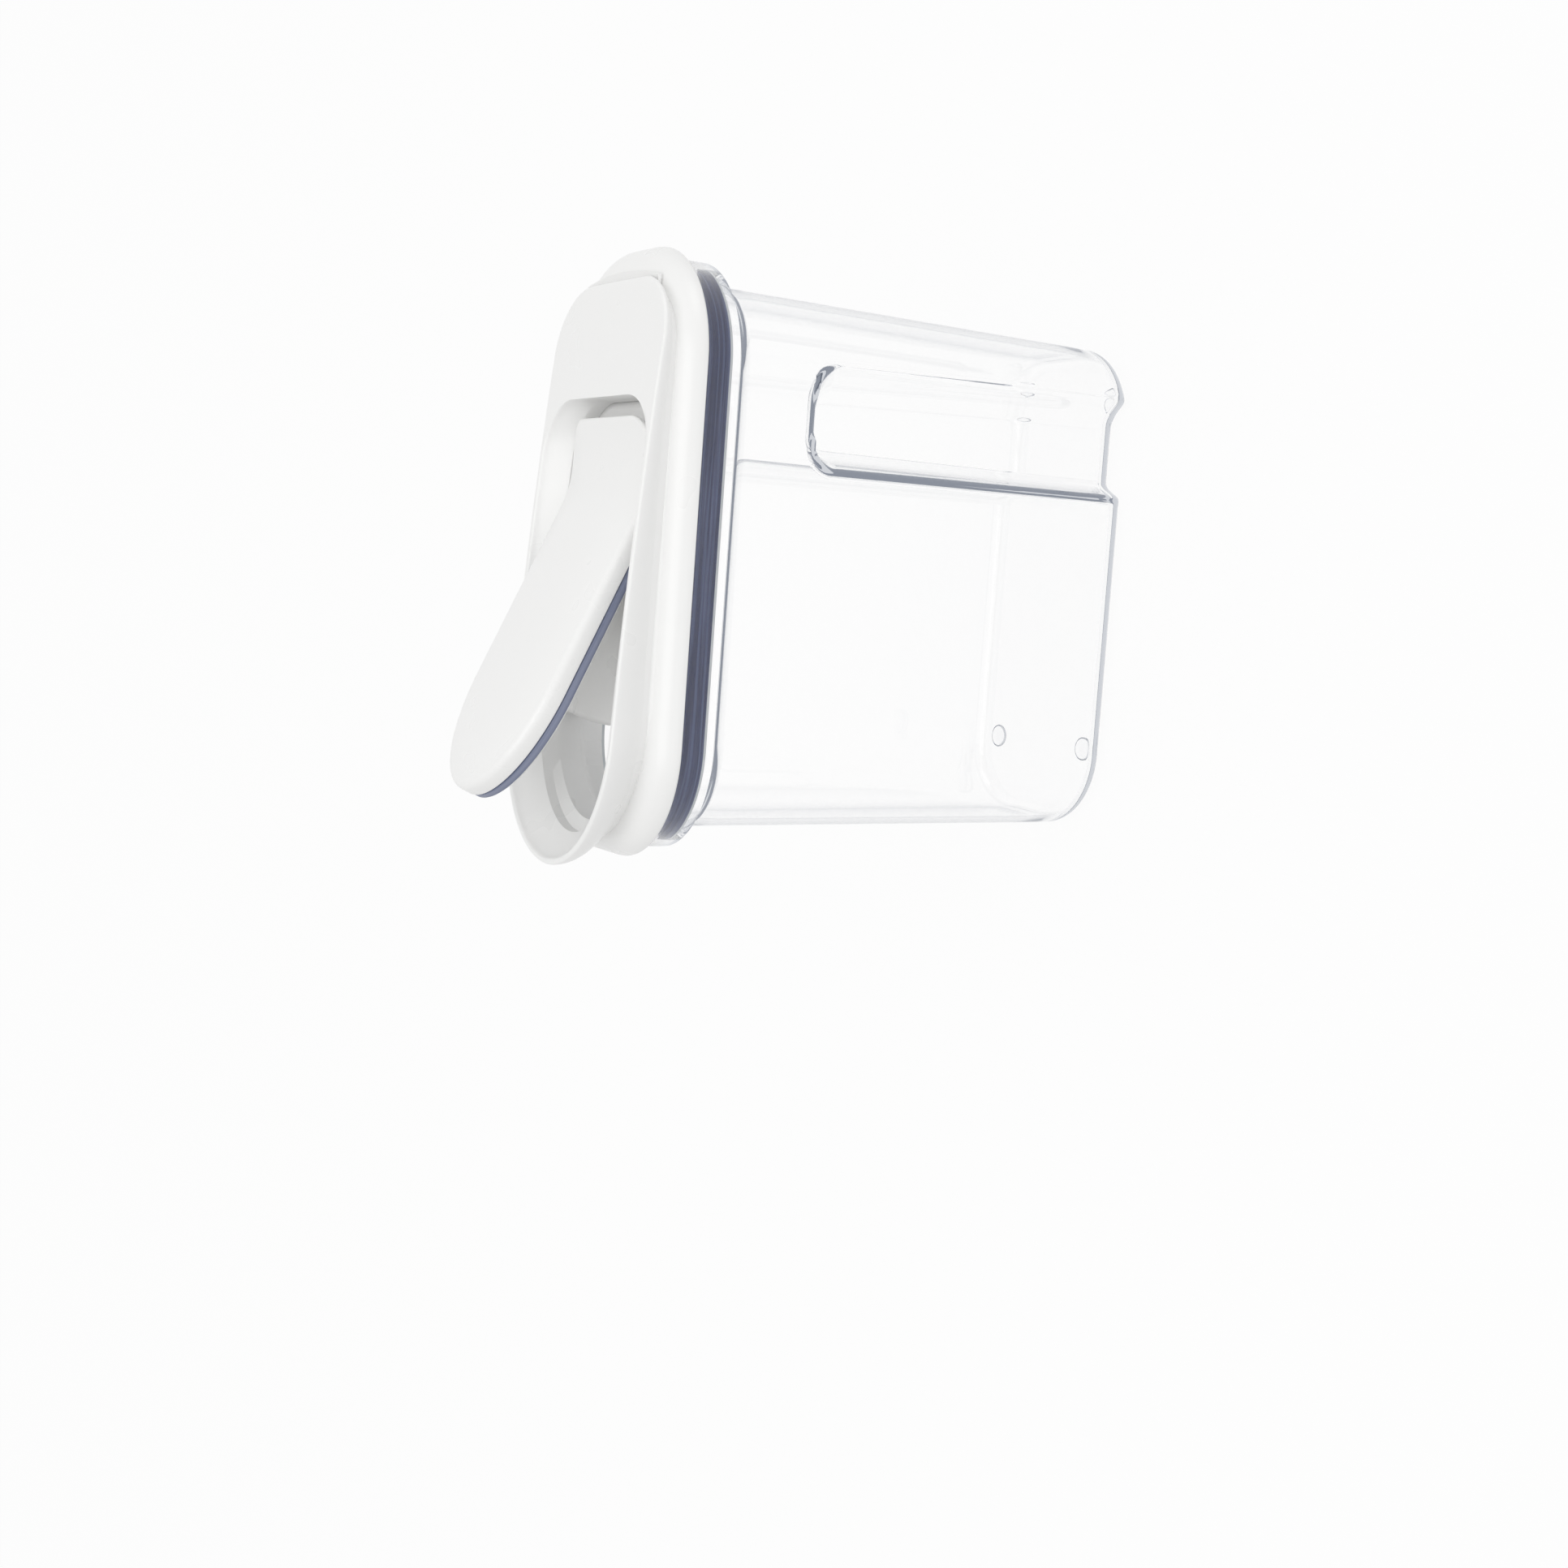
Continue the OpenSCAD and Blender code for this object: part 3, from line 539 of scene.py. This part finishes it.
class CONTAINER_OT_tub(bpy.types.Operator):
    """Builds the clear tub"""
    bl_idname = "container.tub"
    bl_label = "Clear tub"

    def execute(self, context):
        s = context.scene.container_tub
        low = TUB_LOW[2]
        grip_top = MOUTH - s.grip_top
        blend_low = MOUTH - s.collar_h - s.blend_h
        # Wide steps up the plain wall, fine ones round the grips' roof and where the collar widens
        roof_low = grip_top - 22 * MM
        heights = [low + s.edge_r + i * 6 * MM for i in range(1, 22)]
        heights = [z for z in heights if z < roof_low]
        heights += [roof_low + i * 1.1 * MM for i in range(28)]
        heights += [grip_top + 9 * MM + i * 4 * MM for i in range(1, 4)]
        heights = [z for z in heights if z < blend_low]
        heights += [blend_low + (s.blend_h - MM) * (1 - (1 - i / 12) ** 1.4) for i in range(13)]
        heights += [MOUTH - s.collar_h - MM * (1 - i / 8) for i in range(1, 9)]
        heights += [MOUTH - 10 * MM, MOUTH - 5 * MM]
        turns = [math.pi / 2 * i / 8 for i in range(9)]
        lip_turns = (0.0, 0.5, 1.0, math.pi / 2)
        lip = s.lip_r
        outer = [tub_ring(s, low + s.edge_r * (1 - math.cos(a)), s.edge_r * (1 - math.sin(a)), 0.0)
                 for a in turns[1:-1]]
        outer += [tub_ring(s, z, 0.0, 0.0) for z in heights]
        outer += [tub_ring(s, MOUTH - lip * (1 - math.sin(a)), lip * (1 - math.cos(a)), 0.0)
                  for a in lip_turns]
        inner = [tub_ring(s, MOUTH - lip * (1 - math.sin(a)), s.wall - lip * (1 - math.cos(a)), s.wall)
                 for a in reversed(lip_turns)]
        # Under the collar the inner surface follows the outer one a little lower, to keep the wall even
        straight = MOUTH - 11 * MM
        inner += [tub_ring(s, z, s.wall, s.wall, s.wall / 2 if z < straight else 0.0)
                  for z in reversed(heights[2:])]
        floor_z = low + s.floor
        edge = s.edge_r - s.wall / 2
        inner += [tub_ring(s, floor_z + edge * (1 - math.cos(a)), s.wall + edge * (1 - math.sin(a)), s.wall)
                  for a in reversed(turns)]
        swept_piece([tub_ring(s, low, s.edge_r, 0.0)] + outer + inner, True,
                    "clear_tub", "container", ("container_body",), clear_plastic())
        return {"FINISHED"}


class CONTAINER_OT_feet(bpy.types.Operator):
    """Builds the four clear pads under the tub"""
    bl_idname = "container.feet"
    bl_label = "Feet"

    def execute(self, context):
        s = context.scene.container_tub
        for name in ("foot_rear_left", "foot_rear_right", "foot_front_left", "foot_front_right"):
            low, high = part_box(name)
            middle = (low + high) / 2
            r = (high.x - low.x) / 2
            rings = []
            for i in range(9):
                a = math.pi / 2 * i / 8
                ring_r = r * mix(s.foot_sole, 1.0, math.sin(a))
                z = mix(low.z, high.z - s.foot_gap, 1 - math.cos(a))
                rings.append([(middle.x + ring_r * math.cos(b), middle.y + ring_r * math.sin(b), z)
                              for b in [math.tau * k / 48 for k in range(48)]])
            swept_piece(rings, True, name + "_pad", "container", (name,), clear_plastic())
        return {"FINISHED"}


def crown(s, x):
    """Height of the lid's top line at a position along the lid."""
    rear = HOOD_LOW[0] - MID
    front = HOOD_HIGH[0] - MID
    t = (x - rear) / (front - rear)
    return MOUTH + mix(s.crown_rear, s.crown_front, t) + 4 * s.crown_bulge * t * (1 - t)


def lid_half(s, inset):
    """Half the lid's outline, inset all round."""
    r = s.r - inset
    half = s.len / 2 - inset
    return half_outline(-half, half, s.wid / 2 - inset, (r, r), (r, r))


def hood_half(s, share, inset=0.0):
    """Half the hood's outline: 0 at its top edge, 1 at its foot."""
    half_w = HOOD_HIGH[1] - s.foot_inset * share - inset
    rear = HOOD_LOW[0] - MID + s.foot_inset * share + inset
    front = HOOD_HIGH[0] - MID - s.nose_inset * share - inset
    r = s.rear_r - inset
    return half_outline(rear, front, half_w, (r, r), (s.nose_len - inset, half_w))


def channel_half(s, half_w, front):
    """Half the channel's outline."""
    return half_outline(s.channel_rear, front, half_w, (s.channel_r, s.channel_r),
                        (s.nose_len - s.lip, half_w))


def dish_half(s, share):
    """Half the dished part's outline: 0 at the lip, 1 where its sides turn upright."""
    return channel_half(s, mix(HOOD_HIGH[1] - s.lip, s.channel_half, share),
                        mix(HOOD_HIGH[0] - MID - s.lip, s.channel_front, share))


def dome_z(s, x, y):
    """Height of the domed rim at a place, from its distance to the lid's edge."""
    from_end = abs(x) - (s.len / 2 - s.r)
    from_side = abs(y) - (s.wid / 2 - s.r)
    outside = math.hypot(max(from_end, 0.0), max(from_side, 0.0)) + min(max(from_end, from_side), 0.0) - s.r
    share = min(max(-outside / s.dome_w, 0.0), 1.0)
    return SEAM + mix(s.rim_edge, s.dome_h, math.sqrt(1 - (1 - share) ** 2))


class CONTAINER_OT_rim(bpy.types.Operator):
    """Builds the domed rim of the lid, with the fillet where the hood rises from it"""
    bl_idname = "container.rim"
    bl_label = "Domed rim"

    def execute(self, context):
        s = context.scene.container_lid
        inside = lid_half(s, s.wall)
        rings = [full_ring(inside, SEAM + s.rim_inside), full_ring(inside, SEAM + s.rim_edge)]
        rings += [full_ring(lid_half(s, mix(s.wall, 0.0, t)), SEAM + s.rim_edge * (1 - math.sin(math.pi * t)))
                  for t in (0.15, 0.5, 0.85)]

        def dome(x, y):
            return dome_z(s, x, y)

        rings += [full_ring(lid_half(s, s.rim_side * (i / 12) ** 2), dome) for i in range(13)]
        edge, start = lid_half(s, s.rim_side), hood_half(s, 1.0, -s.fillet)
        rings += [full_ring(between(edge, start, i / 6), dome) for i in range(1, 7)]
        rings += self.fillet(s, start)
        behind_wall = 0.5 * MM
        rings.append(full_ring(hood_half(s, 1.0, behind_wall), PLATE_TOP))
        swept_piece(rings, False, "lid_rim", "lid", ("lid_frame",), white_plastic())
        use_material(["lid_base", "hinge_ear_left", "hinge_ear_right"], white_plastic())
        return {"FINISHED"}

    def fillet(self, s, start):
        """Rings of a curve that leaves the dome at a line and meets the hood's wall, just inside it."""
        neck = SEAM + s.dome_h
        # How far inside the wall the curve ends, as a share of the hood's slope
        bite = 0.02
        corners = []
        for a, b, c in zip(start, hood_half(s, 1.0), hood_half(s, 0.0)):
            wall_h = crown(s, b[0]) - s.crown_r - neck
            rise = min(s.fillet, wall_h * 0.5)
            share = 1 - (1 - rise / wall_h) ** 2 - bite
            end = (mix(b[0], c[0], share), mix(b[1], c[1], share), neck + rise)
            corners.append(((*a, dome_z(s, *a)), (*b, dome_z(s, *b)), end))
        rings = []
        for i in range(1, 9):
            t = i / 8
            weights = ((1 - t) ** 2, 2 * t * (1 - t), t * t)
            half = [[sum(w * q[k] for w, q in zip(weights, three)) for k in range(3)] for three in corners]
            far = [(x, -y, z) for x, y, z in reversed(half[1:-1])]
            rings.append([(MID + x, y, z) for x, y, z in half + far])
        return rings


class CONTAINER_OT_hood(bpy.types.Operator):
    """Builds the hood with the spout and its channel"""
    bl_idname = "container.hood"
    bl_label = "Hood and spout"

    def execute(self, context):
        s = context.scene.container_lid
        r = s.crown_r
        # The wall starts a little below the top of the rim, so that no gap shows between them
        neck = LID_HIGH[2] - 0.6 * MM

        def below(depth):
            return lambda x, y: crown(s, x) - depth

        def wall(t):
            return lambda x, y: mix(neck, crown(s, x) - r, t)

        foot = hood_half(s, 1.0)
        rings = [full_ring(foot, PLATE_TOP), full_ring(foot, neck)]
        rings += [full_ring(hood_half(s, (1 - i / 24) ** 2), wall(i / 24)) for i in range(1, 25)]
        rings += [full_ring(hood_half(s, 0.0, r * (1 - math.cos(a))), below(r * (1 - math.sin(a))))
                  for a in (0.4, 0.8, 1.2, math.pi / 2)]
        soft = 0.6 * MM
        edge = hood_half(s, 0.0, r)
        lip = channel_half(s, HOOD_HIGH[1] - s.lip + soft, HOOD_HIGH[0] - MID - s.lip + soft)
        rings += [full_ring(between(edge, lip, i / 12), below(0.0)) for i in range(1, 13)]
        # The soft edge ends at a small share of the way down to the upright part of the channel
        edge_share = 0.04
        rings.append(full_ring(dish_half(s, 0.0), below(s.lip_r * 0.35)))
        rings += [full_ring(dish_half(s, mix(edge_share, 1.0, (i / 14) ** 1.25)),
                            below(mix(s.lip_r, s.dish, i / 14))) for i in range(15)]
        rings.append(full_ring(dish_half(s, 1.0), below(s.seat)))
        throat = channel_half(s, s.channel_half, s.throat_front)
        rings += [full_ring(throat, below(s.throat)), full_ring(throat, PLATE_TOP)]
        swept_piece(rings, False, "spout_hood", "lid", ("lid_hood",), white_plastic())
        return {"FINISHED"}


def deck_height(s, x):
    """Height of the deck at a position along the lid."""
    t = (x - s.channel_rear) / (s.deck_front - s.channel_rear)
    return MOUTH + mix(s.deck_low, s.deck_high, t)


class CONTAINER_OT_deck(bpy.types.Operator):
    """Builds the floor of the channel"""
    bl_idname = "container.deck"
    bl_label = "Channel floor"

    def execute(self, context):
        s = context.scene.container_lid
        bm = bmesh.new()
        bmesh.ops.create_grid(bm, x_segments=48, y_segments=48, size=1.0)
        # The share of the half width that stays flat
        flat = 0.72
        for v in bm.verts:
            side = v.co.y
            y = side * (s.channel_half - s.deck_gap)
            corner = max(0.0, abs(y) - (s.channel_half - s.channel_r))
            bend = s.channel_r - math.sqrt(max(s.channel_r ** 2 - corner ** 2, 0.0))
            rear = s.channel_rear + bend + s.deck_gap
            front = s.deck_front + s.deck_bow * (1 - side * side)
            x = mix(rear, front, (v.co.x + 1) / 2)
            rise = s.deck_rise * soft_step((abs(side) - flat) / (1 - flat)) ** 1.5
            rise *= soft_step((x - s.rise_start) / s.rise_len)
            v.co = (MID + x, y, deck_height(s, x) + rise)
        piece = finish_piece(bm, "channel_deck", "lid", ("channel_floor",), white_plastic())
        solid = piece.modifiers.new("Thickness", "SOLIDIFY")
        solid.thickness = s.deck_t
        solid.offset = -1.0
        return {"FINISHED"}


class CONTAINER_OT_seals(bpy.types.Operator):
    """Builds the seal in the mouth, its clamp ring and the rear tab"""
    bl_idname = "container.seals"
    bl_label = "Lid seal and tab"

    def execute(self, context):
        s = context.scene.container_lid
        f = context.scene.container_finish
        ribs, steps = 4, 32
        # How far each edge slopes in from the outer face to the inner one
        draft = 0.05 * MM
        inset = SEAL_LOW[0] - LID_LOW[0]
        inner = inset + s.seal_t
        low, high = SEAL_LOW[2], SEAL_HIGH[2]
        section = [(inner, low + draft)]
        for i in range(steps + 1):
            t = i / steps
            section.append((inset + s.rib * (0.5 - 0.5 * math.cos(math.tau * ribs * t)), mix(low, high, t)))
        section.append((inner, high - draft))
        swept_piece([full_ring(lid_half(s, d), z) for d, z in section], False,
                    "mouth_seal", "lid", ("lid_gasket",),
                    silicone_material("Navy silicone moulded", f.navy, f.navy_painted_highlight, 0.42))
        low, high = RING_LOW[2], RING_HIGH[2]
        section = ((inner + s.ring_t, low), (inset + s.ring_edge, low), (inset, low + s.ring_edge),
                   (inset, high), (inner + s.ring_t, high))
        swept_piece([full_ring(lid_half(s, d), z) for d, z in section], False,
                    "clamp_ring", "lid", ("gasket_retainer",), pale_ring_plastic())
        self.tab(s)
        return {"FINISHED"}

    def tab(self, s):
        """The rear tab, with a low border round its top and softened edges."""
        bm = bmesh.new()
        bm.from_mesh(frame["nodes"]["rear_tab"].data)
        bmesh.ops.remove_doubles(bm, verts=bm.verts, dist=0.001 * MM)
        bmesh.ops.dissolve_limit(bm, angle_limit=math.radians(1), verts=bm.verts, edges=bm.edges)
        top = [f for f in bm.faces if f.normal.z > 0.9]
        bmesh.ops.inset_region(bm, faces=top, thickness=s.tab_border, use_even_offset=True)
        bmesh.ops.translate(bm, vec=(0.0, 0.0, -s.tab_sink), verts=list({v for f in top for v in f.verts}))
        edges = [e for e in bm.edges if e.calc_face_angle(0.0) > math.radians(40)]
        bmesh.ops.bevel(bm, geom=edges, offset=s.tab_edge, segments=2, affect="EDGES", profile=0.5,
                        material=-1)
        finish_piece(bm, "lift_tab", "lid", ("rear_tab",), white_plastic())


def opened(s, points):
    """Puts points that are drawn along +X from the hinge into the tongue's open place."""
    turn = Matrix.Rotation(-s.slope, 3, "Y")
    return [tuple(turn @ Vector(p) + HINGE) for p in points]


def curl(s, x):
    """Height by which the tongue's rear curls up, at a distance from the hinge."""
    return s.curl_r - math.sqrt(s.curl_r ** 2 - x * x) if x < 0 else 0.0


def tongue_ring(s, inset, z):
    """A ring of the tongue at an inset and a height over its rim, curl included."""
    r = max(s.rear_r - inset, 0.6 * MM)
    nose = max(s.nose_len - inset, 1 * MM)
    half_w = s.half_w - inset
    half = half_outline(-s.rear + inset, s.front - inset, half_w, (r, r), (nose, half_w))
    return opened(s, [(x, y, z + curl(s, x)) for x, y in mirrored(half)])


def seal_ring(s, inset, z):
    """A ring of the seal or plate under the tongue, at an inset and a height over the tongue's rim."""
    half_w = s.half_w - inset
    r = min(s.seal_r, half_w)
    half = half_outline(s.seal_rear + inset, s.front - inset, half_w, (r, r), (s.nose_len - inset, half_w))
    return opened(s, [(x, y, z) for x, y in mirrored(half)])


class CONTAINER_OT_tongue(bpy.types.Operator):
    """Builds the rocking tongue, its seal and the plate under it"""
    bl_idname = "container.tongue"
    bl_label = "Tongue"

    def execute(self, context):
        s = context.scene.container_tongue
        f = context.scene.container_finish
        inner = list(reversed(self.top(s, s.wall)))
        # The sections below are lists of an inset and a height over the tongue's rim
        edges = ((s.wall, 0.3 * MM), (s.wall - 0.3 * MM, 0.0),
                 (0.4 * MM, 0.0), (0.12 * MM, 0.12 * MM), (0.0, 0.4 * MM))
        swept_piece(inner + [tongue_ring(s, *place) for place in edges] + self.top(s, 0.0), True,
                    "rocking_tongue", "flip", ("flip_shell",), white_plastic())
        foot = -s.seal_h
        seal = ((5 * MM, 0.0), (1.3 * MM, 0.0), (1.2 * MM, -0.35 * MM), (0.5 * MM, -0.6 * MM),
                (0.4 * MM, foot / 2), (0.45 * MM, foot + 0.6 * MM), (0.8 * MM, foot + 0.15 * MM),
                (1.2 * MM, foot), (5 * MM, foot))
        swept_piece([seal_ring(s, *place) for place in seal], False,
                    "tongue_seal", "flip", ("flip_gasket",),
                    silicone_material("Slate silicone moulded", f.slate, f.slate_painted_highlight, 0.45, -s.slope))
        low = foot - s.plate_t
        plate = ((34 * MM, foot), (1.7 * MM, foot), (1.4 * MM, foot - 0.3 * MM),
                 (1.4 * MM, low + 0.5 * MM), (1.9 * MM, low), (34 * MM, low))
        swept_piece([seal_ring(s, *place) for place in plate], True,
                    "tongue_plate", "flip", ("flip_plug",), white_plastic())
        use_material(["hinge_pin_left", "hinge_pin_right"], white_plastic())
        return {"FINISHED"}

    def top(self, s, wall):
        """Rings of the tongue's top from its edge to its middle line, at a depth below its surface."""
        rings = []
        for i in range(9):
            a = math.pi / 2 * i / 8
            rings.append(tongue_ring(s, wall + s.edge_r * (1 - math.cos(a)),
                                     s.edge_t - wall - s.edge_r * (1 - math.sin(a))))
        # The last ring keeps a small width, so that its points stay apart
        end = s.half_w - 0.7 * MM
        for i in range(1, 17):
            t = (i / 16) ** 1.4
            rings.append(tongue_ring(s, mix(s.edge_r + wall, end, t),
                                     s.edge_t - wall + s.camber * (1 - (1 - t) ** 3.2)))
        return rings


class CONTAINER_OT_stage(bpy.types.Operator):
    """Sets the floor, the lamps, the background and the camera"""
    bl_idname = "container.stage"
    bl_label = "Stage"

    def execute(self, context):
        s = context.scene.container_stage
        scene = context.scene
        bm = bmesh.new()
        bmesh.ops.create_grid(bm, x_segments=1, y_segments=1, size=s.floor_size / 2)
        mesh = bpy.data.meshes.new("studio_floor")
        bm.to_mesh(mesh)
        bm.free()
        floor = bpy.data.objects.new("studio_floor", mesh)
        floor.location.z = -s.floor_drop
        scene.collection.objects.link(floor)
        material, tree = new_material("Matt white floor")
        share = add_node(tree, "ShaderNodeMath", {0: self.seen(tree), 1: s.glow}, operation="MULTIPLY")
        matt = add_node(tree, "ShaderNodeBsdfDiffuse", {"Color": (0.8, 0.8, 0.8, 1.0)})
        glow = add_node(tree, "ShaderNodeEmission", {"Color": (1.0, 1.0, 1.0, 1.0), "Strength": 1.0})
        both = add_node(tree, "ShaderNodeMixShader",
                        {0: share.outputs[0], 1: matt.outputs[0], 2: glow.outputs[0]})
        add_node(tree, "ShaderNodeOutputMaterial", {"Surface": both.outputs[0]})
        mesh.materials.append(material)
        self.sky(scene, s.fill)
        self.lamps(scene, Vector((0.0, 0.0, s.lamp_aim)))
        camera = bpy.data.objects.new("camera", bpy.data.cameras.new("camera"))
        scene.collection.objects.link(camera)
        camera.data.sensor_width = 36.0
        camera.data.lens = s.lens
        camera.data.clip_start = 0.01
        back = -Vector(s.aim).normalized()
        up = back.cross(Vector(s.right)).normalized()
        right = up.cross(back)
        turn = Matrix((right, up, back)).transposed()
        camera.matrix_world = Matrix.Translation(Vector(s.eye) + Vector((MID, 0.0, SEAM))) @ turn.to_4x4()
        scene.camera = camera
        scene.view_settings.view_transform = "Standard"
        return {"FINISHED"}

    def seen(self, tree):
        """1 for light that reaches the eye straight, by a reflection or through clear plastic, and else 0."""
        path = add_node(tree, "ShaderNodeLightPath").outputs
        straight = add_node(tree, "ShaderNodeMath", {0: path["Is Camera Ray"], 1: path["Is Glossy Ray"]},
                            operation="MAXIMUM")
        return add_node(tree, "ShaderNodeMath", {0: straight.outputs[0], 1: path["Is Transmission Ray"]},
                        operation="MAXIMUM").outputs[0]

    def sky(self, scene, strength):
        """A sky that is white to the eye and in clear plastic, and lights the object at a lower strength."""
        world = scene.world or bpy.data.worlds.new("World")
        scene.world = world
        world.use_nodes = True
        tree = world.node_tree
        tree.nodes.clear()
        fill = add_node(tree, "ShaderNodeBackground", {"Color": (1.0, 1.0, 1.0, 1.0), "Strength": strength})
        white = add_node(tree, "ShaderNodeBackground", {"Color": (1.0, 1.0, 1.0, 1.0), "Strength": 1.0})
        full = add_node(tree, "ShaderNodeMixShader",
                        {0: self.seen(tree), 1: fill.outputs[0], 2: white.outputs[0]})
        add_node(tree, "ShaderNodeOutputWorld", {"Surface": full.outputs[0]})

    def lamps(self, scene, target):
        """Three broad soft boxes: the key above, and weaker ones behind the lid and beside the camera."""
        for name, place, size, power in LAMPS:
            data = bpy.data.lights.new(name, "AREA")
            data.shape = "SQUARE"
            data.size = size
            data.energy = power
            lamp = bpy.data.objects.new(name, data)
            scene.collection.objects.link(lamp)
            lamp.location = place
            lamp.rotation_euler = (Vector(place) - target).to_track_quat("Z", "Y").to_euler()


class CONTAINER_PT_panel(bpy.types.Panel):
    """Lists the container's operators"""
    bl_idname = "CONTAINER_PT_panel"
    bl_label = "Cereal container"
    bl_space_type = "VIEW_3D"
    bl_region_type = "UI"
    bl_category = "Container"

    def draw(self, context):
        for operator in OPERATORS:
            self.layout.operator(operator.bl_idname)


SETTINGS = (
    ("container_tub", TubSettings),
    ("container_lid", LidSettings),
    ("container_tongue", TongueSettings),
    ("container_finish", FinishSettings),
    ("container_stage", StageSettings),
)
OPERATORS = (
    CONTAINER_OT_tub,
    CONTAINER_OT_feet,
    CONTAINER_OT_rim,
    CONTAINER_OT_hood,
    CONTAINER_OT_deck,
    CONTAINER_OT_seals,
    CONTAINER_OT_tongue,
    CONTAINER_OT_stage,
)


def register():
    for name, group in SETTINGS:
        bpy.utils.register_class(group)
        setattr(bpy.types.Scene, name, PointerProperty(type=group))
    for operator in OPERATORS:
        bpy.utils.register_class(operator)
    bpy.utils.register_class(CONTAINER_PT_panel)


def unregister():
    bpy.utils.unregister_class(CONTAINER_PT_panel)
    for operator in reversed(OPERATORS):
        bpy.utils.unregister_class(operator)
    for name, group in reversed(SETTINGS):
        delattr(bpy.types.Scene, name)
        bpy.utils.unregister_class(group)


def main():
    register()
    bpy.ops.container.tub()
    bpy.ops.container.feet()
    bpy.ops.container.rim()
    bpy.ops.container.hood()
    bpy.ops.container.deck()
    bpy.ops.container.seals()
    bpy.ops.container.tongue()
    bpy.ops.container.stage()


if __name__ == "__main__":
    main()
